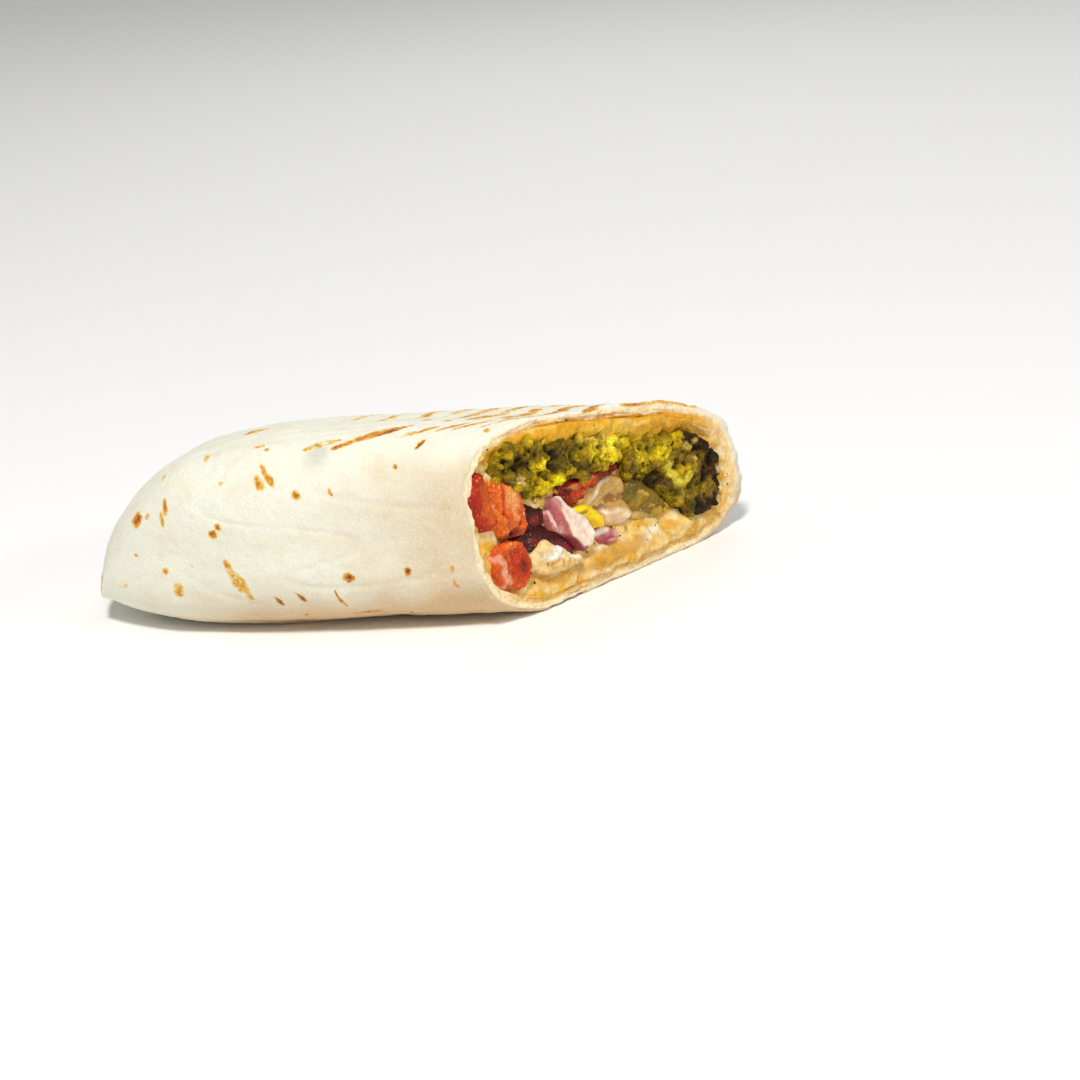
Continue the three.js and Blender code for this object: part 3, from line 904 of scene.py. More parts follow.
def tomato_pieces():
    wet = wet_finish("tomato_wet", 0.14, 0.4, 0.9, 0.26, 0.12, (1.0, 0.3, 0.15), 0.7)
    skin_side = [(-41.5, 31, 1.4, 7, 6, BLOOD, 0.35), (-36.5, 28, 2.2, 6, 0, ORANGE, 0.5),
                 (-34.8, 26, 0.7, 5, 0, PEACH, 0.6), (-35, 35, 3, 2, 0, BLOOD, 0.5)]
    wet_filling("tomato_slice", "tomato", wet, srgb(182, 42, 8), skin_side,
                [(5, 0.35), (1.8, 0.3), (0.8, 0.2)], place=(-36.7, 1.22, -1.3))
    flesh = [(-33.0, 26, 0.5, 6, 4, RED, 0.7), (-30.6, 28, 1.8, 2.8, 10, PEACH, 0.8),
             (-30.0, 24, 1.0, 3, 0, PEACH, 0.5), (-28.0, 22.5, 1.4, 3, 0, RED, 0.5),
             (-31.6, 19.6, 2.2, 1.1, 0, BLOOD, 0.85), (-28.4, 19.2, 1.2, 1.0, 0, RED, 0.8)]
    wet_filling("tomato_wedge", "tomato", wet, srgb(226, 104, 26), flesh,
                [(4, 0.4), (1.6, 0.3), (0.8, 0.18)],
                [(-31.2, 19.8, 1.1, 2.4), (-29.2, 21.6, 0.8, 1.4), (-33.2, 25, 0.6, 1.2)],
                place=(-29.8, 1.0, -0.6))
    end = [(-31.4, 13, 3.2, 4.2, 10, RED, 0.85), (-31, 12.2, 1.5, 1.9, 0, BLOOD, 0.7),
           (-36.4, 12.2, 1.0, 5.0, 8, PINK, 0.8), (-33, 17.4, 2.4, 0.7, 0, ORANGE, 0.6),
           (-28.2, 9, 1.2, 1.6, 0, ORANGE, 0.7)]
    wet_filling("tomato_end", "tomato", wet, srgb(214, 84, 22), end,
                [(4, 0.5), (1.6, 0.4), (0.8, 0.2)], place=(-31, 1.0, -1.1))


def pepper_pieces():
    wet = wet_finish("red_pepper_wet", 0.16, 0.42, 1.2, 0.3, 0.08, (1.0, 0.25, 0.1), 0.3)
    # The near-black dab at the right end is painted shade
    strip = [(-8.5, 23.2, 6, 1.6, 12, srgb(206, 74, 18), 0.85), (-5, 24.6, 4, 0.8, 10, ORANGE, 0.6),
             (-11, 24.6, 2, 0.6, 0, PEACH, 0.5), (-7, 22.6, 1.4, 0.5, 20, PEACH, 0.5),
             (-13.5, 23.4, 1.3, 2.2, 0, BLOOD, 0.7), (0.5, 24.8, 5, 1.2, 4, BLOOD, 0.75),
             (4.8, 25.0, 1.4, 1.4, 0, PAINTED_SHADE_AND_SPECK, 0.6)]
    wet_filling("red_pepper_strip", "red_pepper", wet, srgb(142, 22, 6), strip,
                [(3.6, 0.8), (1.5, 0.55), (0.8, 0.3)])
    # The slice's near-black maroon is partly its own dark red and partly painted shade of the
    # recess it lies in; its near-black dab is painted shade
    deep = [(-23.6, 20.6, 1.8, 1.2, -20, srgb(130, 16, 6), 0.9), (-24, 22.6, 3, 0.9, 0, PAINTED_SHADE_AND_SPECK, 0.7)]
    wet_filling("red_pepper_slice", "red_pepper", wet, srgb(66, 5, 3), deep, [(4, 0.15)],
                advance=2.0, place=(-23.8, 1.7, -0.2), grow=1.5)
    bright = wet_finish("yellow_pepper_wet", 0.16, 0.14, 1.4, 0.14, 0.3, (1.0, 0.7, 0.1))
    yellow = [(-11.4, 18.8, 0.9, 0.7, 0, MOSS, 0.7),
              (-8.6, 14.6, 0.9, 1.4, 0, srgb(214, 160, 14), 0.7)]
    wet_filling("yellow_pepper", "yellow_pepper", bright, srgb(248, 212, 16), yellow,
                [(3, 0.4), (1.2, 0.16)], advance=0.8, place=(-9.6, 1.35, 0.2), grow=0.5, rounding=1)


def onion_pieces():
    wet = wet_finish("onion_wet", 0.2, 0.12, 1.3, 0.1, 0.3, (1.0, 0.5, 0.55), 0.35)
    flesh = srgb(246, 222, 200)
    wedge = [
        (-13.9, 17.4, 0.6, 6.4, 34, srgb(236, 190, 176), 0.4),
        (-9.4, 14.0, 1.6, 2.6, 30, srgb(252, 236, 214), 0.8),
        (-17.3, 18.6, 0.9, 6.6, 22, srgb(186, 88, 92), 0.95),
        (-17.8, 22.8, 1.0, 2.4, 22, srgb(200, 122, 122), 0.9),
        # The plum dab is partly the skin's own purple and partly painted shade on the lower left
        # side
        (-14.5, 12.0, 1.1, 3.4, 36, PLUM, 0.97),
        (-12.0, 10.0, 1.8, 0.8, 0, srgb(150, 44, 58), 0.9),
    ]
    wet_filling("onion_wedge", "red_onion", wet, flesh, wedge, [(5, 0.35), (1.6, 0.14)],
                wander=0.25, voxel=0.31, rounding=1, grow=0.15)
    sliver = [
        (-18.2, 18.6, 0.5, 3.4, 24, srgb(240, 200, 188), 0.9),
        (-19.9, 20.2, 0.5, 3, 20, PURPLE, 0.6),
    ]
    wet_filling("onion_sliver", "red_onion", wet, srgb(212, 132, 124), sliver,
                [(3, 0.2), (1.2, 0.12)], advance=-0.6, place=(-18.8, 0.85, 0.9),
                wander=0.25, voxel=0.26, rounding=1, grow=-0.1)
    chip = [
        (-2.6, 9.4, 4.4, 1.1, -8, PURPLE, 0.9), (-4.4, 12, 2.4, 0.8, 0, srgb(250, 232, 214), 0.9),
        (0.4, 10.6, 1.1, 1.2, 0, srgb(230, 178, 160), 0.7),
        (-0.6, 9.0, 2.2, 0.4, -8, srgb(222, 162, 150), 0.8),
    ]
    wet_filling("onion_chip", "red_onion", wet, srgb(200, 120, 116), chip, [(3, 0.3), (1.2, 0.18)],
                wander=0.25, voxel=0.28, rounding=1, grow=0.2)
    # The skin's near-black maroon is partly its own colour and partly painted shade of the recess
    # beside the red pepper
    band = [
        (-24, 15.4, 4, 0.8, -22, srgb(136, 20, 24), 0.7),
        (-17.5, 12.4, 3, 1.2, -28, srgb(122, 18, 44), 0.9),
    ]
    wet_filling("onion_skin", "onion_skin", wet, srgb(64, 4, 6), band, [(4, 0.15)], advance=1.2,
                grow=1.4, voxel=0.34, place=(-20, 1.2, -0.2))


def pale_pieces():
    clear = wet_finish("white_onion_wet", 0.08, 0.1, 1.8, 0.16, 0.35, (1.0, 0.75, 0.45), 0.6)
    # The two thin palest streaks are painted highlights, and the two darkest dabs are painted shade
    # in the gaps between layers; the rest is the onion's own colour
    white = [
        (-6.4, 19.8, 3.6, 0.9, 26, srgb(226, 194, 136), 0.85),
        (-2.6, 21.6, 4.0, 0.6, 30, srgb(244, 226, 184), 0.9),
        (-4.6, 18.4, 4.4, 0.5, 22, srgb(210, 172, 104), 0.8),
        (0.6, 20.4, 2.6, 0.5, 40, srgb(214, 176, 104), 0.7),
        (1.0, 18.4, 2.6, 1.0, 0, srgb(146, 96, 24), 0.85),
        (-3.0, 17.2, 3.4, 0.5, -16, srgb(116, 68, 14), 0.8),
        (-0.6, 14.6, 6.2, 1.9, -16, srgb(228, 190, 146), 0.9),
        (-1, 15.6, 4.6, 0.4, -14, srgb(248, 226, 192), 0.8),
        (-5.6, 16.0, 2.4, 1.1, -20, srgb(206, 146, 122), 0.85),
        (4.4, 13.4, 2.4, 1.0, -20, srgb(240, 216, 176), 0.9),
    ]
    wet_filling("white_onion", "white_onion", clear, srgb(198, 156, 84), white,
                [(7, 0.8), (3.0, 0.2), (1.2, 0.08)], [(1.0, 18.2, 2.2, 1.0)],
                advance=0.8, wander=0.5, rounding=8, grow=0.6)
    green = [
        (10.6, 16.6, 1.8, 0.5, -20, srgb(226, 196, 110), 0.8),
        (7, 18.2, 4.4, 0.9, 12, srgb(104, 92, 6), 0.9),
        (8.4, 15.4, 3, 1.5, 20, srgb(164, 130, 24), 0.85),
        (12.6, 14.6, 2.4, 1.6, 0, srgb(140, 110, 10), 0.8),
        (9, 11.4, 4, 1.2, -14, srgb(206, 172, 92), 0.8),
        (14.6, 11, 1.6, 1.2, 0, srgb(196, 160, 54), 0.7),
    ]
    wet_filling("cucumber", "cucumber", clear, srgb(126, 96, 8), green,
                [(5, 0.8), (2.0, 0.3), (0.9, 0.12)], [(6.6, 13.6, 1.2, 1.4)], grow=0.5)


def sauce_piece():
    paste = wet_finish("yogurt_sauce", 0.26, 0.26, 1.4, 0.18, 0.3, (1.0, 0.8, 0.5), 0.2)
    # The golden lower dabs are partly the paste's own colour and partly painted shade under the
    # lump
    dabs = [
        (-22.6, 12.6, 3.4, 1.6, -6, srgb(253, 248, 232), 0.95),
        (-16.6, 10.4, 1.8, 1.3, -30, srgb(250, 244, 226), 0.95),
        (-21, 9.6, 4.6, 1.0, -10, srgb(226, 178, 96), 0.6),
        (-24.6, 9.6, 1.0, 2.0, 0, srgb(222, 170, 84), 0.5),
    ]
    return wet_filling("yogurt_sauce", "yogurt_sauce", paste, srgb(240, 208, 144), dabs,
                       [(4, 1.2), (2.0, 0.6), (1.0, 0.4)],
                       place=(-20, 1.06, 0.4), grow=0.8, rounding=7)


# Falafel: grains of ground chickpea and herbs packed over a core. The listed nodules are:
# along the cut, height, radius, how far they stand out

TORN_NODULES = [
    (-14.2, 33.6, 3.4, 0.9), (-21.6, 32.8, 1.9, 1.3), (-26.6, 35.6, 2.6, 0.7),
    (-29.6, 34.2, 1.8, 0.4), (-24.4, 30.2, 1.6, 0.9), (-27.6, 31.2, 1.3, 0.7),
    (-19.6, 36.6, 1.9, 0.5), (-16.6, 28.6, 2.2, 0.8), (-20.4, 27.6, 2.3, 0.9),
    (-23.6, 26.8, 1.6, 0.5), (-13.0, 28.4, 1.6, 0.6), (-9.4, 31.8, 2.0, 0.7),
    (-6.2, 28.8, 2.1, 0.9), (-8.2, 26.8, 1.2, 0.6), (-2.4, 30.2, 2.4, 0.8), (2.2, 31.4, 2.0, 1.2),
    (1.6, 28.0, 1.7, 0.7), (-4.4, 33.2, 1.8, 0.4), (5.4, 29.2, 1.7, 0.5), (-11.4, 34.8, 1.6, 0.5),
    (5.6, 32.4, 1.9, 0.3), (7.6, 29.6, 2.0, 0.6), (4.6, 27.0, 1.6, 0.5), (9.4, 31.2, 1.5, 0.2),
    (-31.2, 32.0, 1.4, 0.4), (-29.4, 37.0, 1.6, 0.2), (-22.6, 38.2, 1.7, 0.2),
]
TORN_PITS = [
    (-27.4, 33.2, 1.4, 3.4), (-24.2, 32.4, 1.1, 2.8), (-18.2, 31.2, 1.5, 3.6),
    (-17.8, 34.2, 1.0, 3.0), (-11.6, 31.2, 1.2, 2.6), (-16.4, 30.2, 1.1, 2.4),
    (-0.4, 32.6, 0.7, 1.8), (-5.0, 31.4, 0.8, 2.0), (-12.0, 26.6, 0.9, 2.0),
    (-22.0, 29.6, 0.8, 2.2), (3.8, 30.0, 0.7, 1.6),
]
# The near-black dabs are painted shade in the pits; the others are the crumb's own tones
TORN_DABS = [
    (-22, 34.6, 11, 3.8, -4, OLIVE, 0.75), (-14.2, 34, 4.2, 3.6, 0, OLIVE, 0.6),
    (-20.5, 27.0, 7, 1.6, 4, LIME, 0.7), (-9.4, 27.6, 3.4, 1.8, 10, OLIVE, 0.65),
    (-21.6, 32.8, 2.0, 1.4, 0, LIME, 0.85), (0, 30.2, 8, 3.2, -12, LIME, 0.95),
    (0, 31, 6, 1.6, -12, srgb(238, 204, 60), 0.75),
    (-4, 33.6, 7, 1.3, -12, srgb(232, 196, 70), 0.75),
    (-17, 38.0, 8, 1.0, -6, srgb(214, 170, 40), 0.5), (-27.4, 33.2, 1.9, 1.2, 0, PAINTED_SHADE_AND_SPECK, 0.95),
    (-18.0, 32.8, 1.2, 2.6, -10, PAINTED_SHADE_AND_SPECK, 0.95), (-17.0, 30.6, 2.4, 0.9, 0, PAINTED_SHADE_AND_SPECK, 0.85),
    (-11.6, 31.2, 1.1, 1.8, 20, PAINTED_SHADE_AND_SPECK, 0.85), (-24.4, 32.6, 1.0, 1.4, 10, PAINTED_SHADE_AND_SPECK, 0.8),
    (-28.6, 30.6, 1.6, 1.3, 0, srgb(236, 206, 130), 0.6), (-10.8, 25.8, 2.2, 0.8, 0, MOSS, 0.7),
]
CRUST_NODULES = [
    (9.0, 25.2, 3.1, 1.5), (16.4, 25.0, 2.9, 1.3), (13.2, 22.6, 2.3, 0.8), (12.6, 27.6, 1.5, 0.8),
    (20.2, 23.6, 2.0, 0.9), (20.6, 26.8, 1.3, 0.5), (7.0, 22.4, 1.5, 0.6), (28.4, 12.2, 3.4, 1.1),
    (25.6, 13.4, 1.8, 0.8), (19.2, 13.2, 1.7, 1.2), (26.0, 20.6, 2.8, 0.8), (30.2, 18.6, 2.0, 0.6),
    (24.8, 24.2, 1.6, 0.6), (28.4, 24.4, 1.3, 0.8), (32.6, 14.6, 1.6, 0.6), (31.6, 10.4, 1.4, 0.5),
    (26.4, 8.6, 1.8, 0.4), (22.2, 17.6, 1.6, 0.5), (29.6, 8.2, 1.5, 0.4), (22.4, 10.6, 1.5, 0.5),
    (16.4, 17.6, 1.5, 0.0), (24.0, 16.2, 1.4, 0.5), (18.6, 20.6, 1.6, 0.5),
]
CRUST_PITS = [
    (12.6, 19.2, 1.8, 4.6), (16.6, 20.0, 1.2, 3.6), (15.2, 17.6, 1.2, 2.6), (22.6, 20.6, 0.9, 2.6),
    (23.6, 26.4, 0.9, 1.8), (30.6, 21.6, 0.9, 2.0), (23.0, 14.4, 0.9, 2.4), (30.4, 15.6, 0.8, 1.6),
    (24.6, 10.6, 1.0, 2.0), (12.8, 25.0, 0.7, 2.0), (28.8, 9.8, 0.8, 1.6), (33.2, 17.4, 0.9, 1.4),
]
# The near-black dab is painted shade in the deepest pit; the char is the crust's own colour
CRUST_DABS = [
    (9, 25.4, 3.2, 2.6, 0, LIME, 0.85), (16.8, 25.2, 3.2, 2.0, -8, LIME, 0.7),
    (13.2, 22.2, 2.6, 1.5, 0, OLIVE, 0.8), (20.4, 22.6, 2.4, 2.6, 0, OLIVE, 0.7),
    (31.5, 19, 6.6, 11.5, -4, CHAR, 0.97), (27, 8.4, 8, 3.0, -6, CHAR, 0.97),
    (25.6, 25.4, 3.6, 1.8, -12, CHAR, 0.95), (27.6, 18.8, 3.4, 3.2, -10, srgb(112, 86, 10), 0.85),
    (28.6, 12.2, 4.2, 2.2, 8, srgb(138, 108, 12), 0.9),
    (19.2, 13.2, 1.6, 2.3, 0, srgb(160, 134, 34), 0.9), (24.4, 15.0, 2.0, 2.2, 0, MOSS, 0.7),
    (13.4, 19.0, 4.0, 1.7, -6, PAINTED_SHADE_AND_SPECK, 0.9), (26.4, 24.8, 1.4, 0.6, 0, GRAIN, 0.8),
    (23.6, 23.6, 1.3, 0.6, 20, GRAIN, 0.6), (24.6, 20.4, 1.0, 0.7, 0, GRAIN, 0.5),
    (16.2, 17.4, 1.8, 1.0, 0, TOAST, 0.7),
]
CRUMB_VOXEL = 0.32
GRAIN_SPACING = 1.15
GRAIN_LOW, GRAIN_HIGH = 0.3, 1.7
SHRED = [
    (17.8, 20.6), (18.4, 19.2), (19.2, 17.8), (20.2, 16.6), (21.4, 16.2), (22.6, 16.6),
    (23.6, 17.0),
]


def spot_on_cut(along, height, out):
    y = along / math.hypot(1, CUT_SLOPE)
    return np.array([cut_station(y, height) + out, y, height])


def grain_centres(node, spacing, seed):
    """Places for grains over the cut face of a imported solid, unevenly spread."""
    bm = solid_copy(node)
    bmesh.ops.triangulate(bm, faces=bm.faces)
    generator = np.random.default_rng(seed)
    centres = []
    for face in bm.faces:
        corners = from_frame(np.array([v.co for v in face.verts], float))
        if before_cut(corners).max() > 7:
            continue
        area = np.linalg.norm(np.cross(corners[1] - corners[0], corners[2] - corners[0])) / 2
        count = generator.poisson(area / spacing ** 2)
        shares = generator.dirichlet((1, 1, 1), count)
        centres.extend(shares @ corners)
    bm.free()
    return np.array(centres)


def add_ball(bm, centre, radii):
    matrix = Matrix.Translation(to_frame(centre[None].copy())[0]) @ Matrix.Diagonal((*radii, 1))
    bmesh.ops.create_icosphere(bm, subdivisions=2, radius=MM, matrix=matrix)


def add_grains(bm, centres, low, high, seed):
    generator = np.random.default_rng(seed)
    for centre in centres:
        radius = low + (high - low) * generator.random() ** 2
        moved = centre + generator.normal(0, 0.3, 3)
        add_ball(bm, moved, radius * generator.uniform(0.75, 1.25, 3))


def add_nodules(bm, nodules):
    """The listed lumps: returns their centres."""
    centres = [spot_on_cut(along, height, out - radius) for along, height, radius, out in nodules]
    for centre, (_, _, radius, _) in zip(centres, nodules):
        add_ball(bm, centre, (radius, 0.95 * radius, 0.88 * radius))
    return np.array(centres)


def nearest_ball(points, centres):
    tree = KDTree(len(centres))
    for index, centre in enumerate(centres):
        tree.insert(centre, index)
    tree.balance()
    return np.array([tree.find(point)[1] for point in points])


def falafel_piece(node, nodules, pits, dabs, seed, extra=()):
    bm = solid_copy(node)
    grains = grain_centres(node, GRAIN_SPACING, seed)
    add_grains(bm, grains, GRAIN_LOW, GRAIN_HIGH, seed + 1)
    lumps = add_nodules(bm, nodules)
    for centre, radius in extra:
        add_ball(bm, centre, (radius,) * 3)
    piece = voxelled(node + "_crumb", bm, CRUMB_VOXEL)
    mesh = piece.data
    points = relax(points_of(mesh), edges_of(mesh), 1)
    move_points(mesh, points)
    front = front_share(points)
    grit = 0.3 * noise(points, 2.3, seed + 4) + 0.28 * noise(points, 1.1, seed + 3)
    grit += 0.14 * noise(points, 0.7, seed + 5)
    points = points + ((grit + 0.1) * front)[:, None] * normals_of(mesh)
    points = along_roll(points, -pit(points, pits) * front)
    move_points(mesh, points)
    tone = dabbed(points, LEAF, dabs, 1.5, seed)
    patches = 1 + 0.5 * np.clip(1.6 * noise(points, 3.4, seed + 8), -1, 1)
    generator = np.random.default_rng(seed + 6)
    balls = np.concatenate([grains, lumps])
    shade = generator.uniform(0.62, 1.3, len(balls))[nearest_ball(points, balls)]
    painted_hollow_shade = smooth(-0.04, 0.3, hollows(mesh, 12))
    proud = smooth(0.05, 0.35, -hollows(mesh, 5))
    tone = tone * (patches * shade * (1 + 0.35 * rough(points, 1.0, 2, seed + 7)))[:, None]
    # Painted highlight: tops of bumps lighter, the rest a little darker
    tone = blend(0.92 * tone, 1.5 * tone, (0.7 * proud)[:, None])
    leaf_flecks = 0.6 * smooth(0.5, 0.75, noise(points, 1.3, seed + 9))
    pale_flecks = 0.55 * smooth(0.45, 0.7, noise(points, 0.95, seed + 10))
    tone = blend(blend(tone, MOSS, leaf_flecks[:, None]), 1.9 * tone + 0.04, pale_flecks[:, None])
    # Painted shade: near-black in the hollows, and darker further behind the cut
    tone = blend(tone, PAINTED_SHADE_AND_SPECK, (0.96 * painted_hollow_shade)[:, None])
    deep = smooth(2.0, 5.5, before_cut(points))
    tone = tone * (1 - 0.85 * deep)[:, None]
    return piece, points, tone


def with_shred(points, tone):
    """A curled bright shred of leaf among the grains."""
    places = np.array([spot_on_cut(along, height, 1.2) for along, height in SHRED])
    apart = np.min([np.linalg.norm(points - place, axis=1) for place in places], axis=0)
    return blend(tone, srgb(238, 216, 76), (0.95 * smooth(1.7, 0.9, apart))[:, None])


def falafel_finish():
    finish = Finish("falafel_crumb", IOR=1.45, Specular_IOR_Level=0.22)
    tint = finish.attribute("tint", "Color")
    speck = finish.ramp(finish.noise(0.5, 4, 0.75), [
        (0.3, (0.3, 0.26, 0.2)), (0.48, (1, 1, 1)),
        (0.62, (1.15, 1.12, 1.0)), (0.74, (2.0, 1.9, 2.4))])
    finish.colour(finish.mix(1.0, tint, speck, "MULTIPLY"))
    finish.bump(finish.maths("ADD", finish.noise(0.45, 4, 0.7), finish.cells(0.5)), 0.4, 1.0)
    finish.roughness(finish.ramp(finish.noise(0.7, 3), [(0.35, 0.24), (0.65, 0.66)]))
    soften(finish, 0.1, (1.0, 0.8, 0.3), 1.0)
    return finish.material


def falafel_pieces():
    finish = falafel_finish()
    torn, _, tone = falafel_piece("falafel_torn", TORN_NODULES, TORN_PITS, TORN_DABS, 200)
    set_colour(torn.data, "tint", tone)
    keep(torn, finish, "falafel", "falafel_torn")
    shred = [(spot_on_cut(along, height, 1.0), 0.85) for along, height in SHRED]
    crust, points, tone = falafel_piece(
        "falafel_crust", CRUST_NODULES, CRUST_PITS, CRUST_DABS, 210, shred)
    set_colour(crust.data, "tint", with_shred(points, tone))
    keep(crust, finish, "falafel_crust", "falafel_crust")


# Hummus: the paste that lines the pocket, and that the fillings lie in

HUMMUS_DIPS = [
    (-1.5, 20.2, 4.0, 2.6), (-23.4, 20.8, 2.2, 2.0), (-19, 15.2, 2.4, 1.4), (13.4, 19.0, 2.6, 2.0),
    (-32.4, 20, 1.2, 1.0),
]
HUMMUS_RISES = [
    (-22.4, 24.0, 1.6, 1.6), (-35.2, 20.6, 1.6, 0.8), (-29.8, 31.6, 1.4, 1.8), (8.6, 7.4, 5.0, 0.9),
    (-17, 6.6, 5.0, 1.0), (0, 6.4, 6, 0.8), (20, 8.6, 3.0, 1.2), (-34.6, 18.8, 1.6, 0.6),
    (-3, 35.8, 8, 1.6), (14, 30.6, 7, 1.6), (-20, 39.2, 8, 1.4),
]
HUMMUS_DABS = [
    (-14, 39.0, 22, 2.6, -8, srgb(222, 162, 20), 0.7),
    (12, 31.8, 18, 2.6, -16, srgb(220, 162, 24), 0.6),
    (2, 34.0, 10, 1.6, -14, srgb(234, 190, 62), 0.85),
    (-20, 40.4, 5, 0.8, -6, srgb(240, 204, 110), 0.7),
    (8, 34.0, 5, 0.7, -16, srgb(242, 206, 112), 0.7),
    (13, 29.2, 7, 1.3, -18, srgb(226, 186, 50), 0.75),
    (-22.2, 23.9, 3.4, 1.3, -8, srgb(240, 206, 138), 0.95),
    (-35, 20, 2.0, 1.8, -20, srgb(244, 216, 158), 0.9),
    (-30.4, 31.4, 1.6, 2.2, 0, srgb(244, 218, 150), 0.85),
    (8.6, 7.4, 7.2, 0.9, 8, WHITE_PASTE, 0.85), (20, 9, 3.4, 1.0, 10, srgb(244, 222, 160), 0.75),
    (-3, 7.2, 2, 0.8, 0, WHITE_PASTE, 0.8), (-18, 6.4, 9, 1.2, -4, srgb(204, 150, 62), 0.6),
    (-25.6, 7.0, 2.0, 1.6, 0, srgb(224, 172, 88), 0.7),
    (-2, 6.4, 9, 2.0, 6, srgb(206, 150, 44), 0.85), (-9, 7.6, 3, 1.2, 0, srgb(226, 180, 92), 0.7),
    # Painted shade: the two near-black maroon dabs fill the dark recess by the red pepper and onion
    # skin, and the near-black dab at 13.4 is shade in the dip by the falafel crust
    (-23.6, 20.6, 3.6, 2.1, -6, srgb(58, 4, 3), 0.98),
    (-20, 15.6, 5.2, 1.9, -22, srgb(60, 5, 6), 0.95), (13.4, 19, 4.2, 1.6, -8, PAINTED_SHADE_AND_SPECK, 0.9),
    # The tiny near-black dot at -8.9 is a pepper speck, in its own colour
    (16, 10.4, 3, 1.4, 0, srgb(206, 160, 60), 0.7), (-8.9, 8.6, 0.28, 0.24, 0, PAINTED_SHADE_AND_SPECK, 1.0),
    (-38, 14, 1.6, 8, 14, GOLD, 0.7),
]


def top_of_pocket(flat):
    across = flat[:, 0] / math.hypot(1, CUT_SLOPE) / (WIDTH / 2)
    return HEIGHT * (1 - LEAN * across) - FLAT - WALL_TOP


def edge_distance(flat):
    """Rough distance in from the pocket's wall, for places in the cut's plane."""
    sides = WIDTH / 2 - WALL_NEAR - np.abs(flat[:, 0]) / math.hypot(1, CUT_SLOPE)
    top = top_of_pocket(flat) - flat[:, 1]
    return np.minimum(np.minimum(flat[:, 1] - WALL_BOTTOM, top), 1.3 * sides)


def paste_core():
    """A plug that fills the pocket for a little way behind the cut."""
    turn = np.append(np.linspace(0, 1, PASTE_COLUMNS, endpoint=False), 0.0)
    ring = on_ring(turn, 0 * turn)

    def angle_at(_station):
        return 360 * turn

    wall = wall_depth(360 * turn) * (0.66 + 0.12 * noise(ring, 6, 118) + 0.07 * noise(ring, 2, 119))
    front = settle(angle_at, wall, 1.0, -1.6)
    back = settle(angle_at, wall + 2.5, 1.0, -PASTE_REACH)
    rows = [np.broadcast_to(back.mean(axis=0), back.shape).copy()]
    rows += [blend(back, front, share) for share in np.linspace(0, 1, PASTE_ROWS)]
    rows.append(np.broadcast_to(front.mean(axis=0), front.shape).copy())
    points = np.stack(rows)
    points[:, -1] = points[:, 0]
    coarse = wrapped_grid("hummus.coarse", points)
    bm = bmesh.new()
    bm.from_mesh(coarse.data)
    bpy.data.objects.remove(coarse)
    return bm


def hummus_piece():
    piece = voxelled("hummus_paste", paste_core(), PASTE_VOXEL)
    mesh = piece.data
    points = relax(points_of(mesh), edges_of(mesh), 3)
    facing = smooth(3.2, 1.8, before_cut(points))
    flat = on_cut(points)
    swirl = 0.9 * noise(points, 7, 120) + 0.9 * noise(points * (1, 0.5, 1), 3, 121)
    swirl += 0.45 * noise(points, 1.4, 122)
    lining = smooth(5.0, 0.5, edge_distance(flat)) * (0.8 + 1.3 * smooth(-38, -32, flat[:, 0]))
    placed = pit(points, HUMMUS_RISES) - pit(points, HUMMUS_DIPS)
    shaped = along_roll(points, facing * (swirl + lining + placed))
    move_points(mesh, shaped)
    tone = blend(PASTE, GOLD, (0.85 * smooth(-0.3, 0.5, rough(points, 4, 3, 123)))[:, None])
    pale = 0.7 * smooth(0.2, 0.7, rough(points * (1, 0.6, 1), 3, 2, 127))
    tone = blend(tone, WHITE_PASTE, pale[:, None])
    below_top = top_of_pocket(flat) - flat[:, 1] + 0.7 * noise(points, 4, 128)
    tone = blend(tone, srgb(222, 162, 20), (0.9 * smooth(7.0, 4.0, below_top))[:, None])
    tone = dabbed(points, tone, HUMMUS_DABS, 1.0, 124)
    # Painted shade: dark brown further behind the cut and in hollows
    deep = smooth(3.0, 8.0, before_cut(shaped))
    painted_hollow_shade = smooth(0.1, 0.6, hollows(mesh, 12))
    tone = blend(tone, srgb(96, 44, 10), np.maximum(deep, 0.5 * painted_hollow_shade)[:, None])
    set_colour(mesh, "tint", tone)
    finish = wet_finish("hummus", 0.28, 0.2, 1.6, 0.2, 0.25, (1.0, 0.7, 0.3), 0.2)
    return keep(piece, finish, "hummus", "hummus")


# Loose bits on the cut face. Each patch: along the cut, height, spread along and up, how many

CRUMB_PATCHES = [
    (16, 12.4, 4.0, 1.0, 12), (27, 7.4, 3.0, 0.8, 10), (-9, 24.6, 5.0, 0.8, 8),
    (-33, 24.0, 1.6, 3.0, 5), (10, 20.6, 3.0, 0.8, 6), (-21, 25.0, 3.0, 0.6, 6),
    (35.5, 15, 0.7, 5.0, 8), (0, 10.6, 5.0, 1.0, 5),
]
SPECK_PATCHES = [
    (-6, 8.4, 6.0, 2.0, 7), (-24, 7.4, 3.0, 1.2, 3), (12, 8.2, 4.0, 1.4, 4),
    (-20, 40.0, 8.0, 1.0, 4), (2, 36.0, 8.0, 1.4, 4), (37, 12, 0.6, 5.0, 4),
    (-3, 15.0, 3.0, 1.0, 2),
]


def landing(start, pieces):
    """Where something pushed on to the cut face from the front comes to rest, if it does."""
    hits = [piece.ray_cast(start, (-1, 0, 0)) for piece in pieces]
    return max((place for hit, place, *_ in hits if hit), key=lambda place: place.x, default=None)


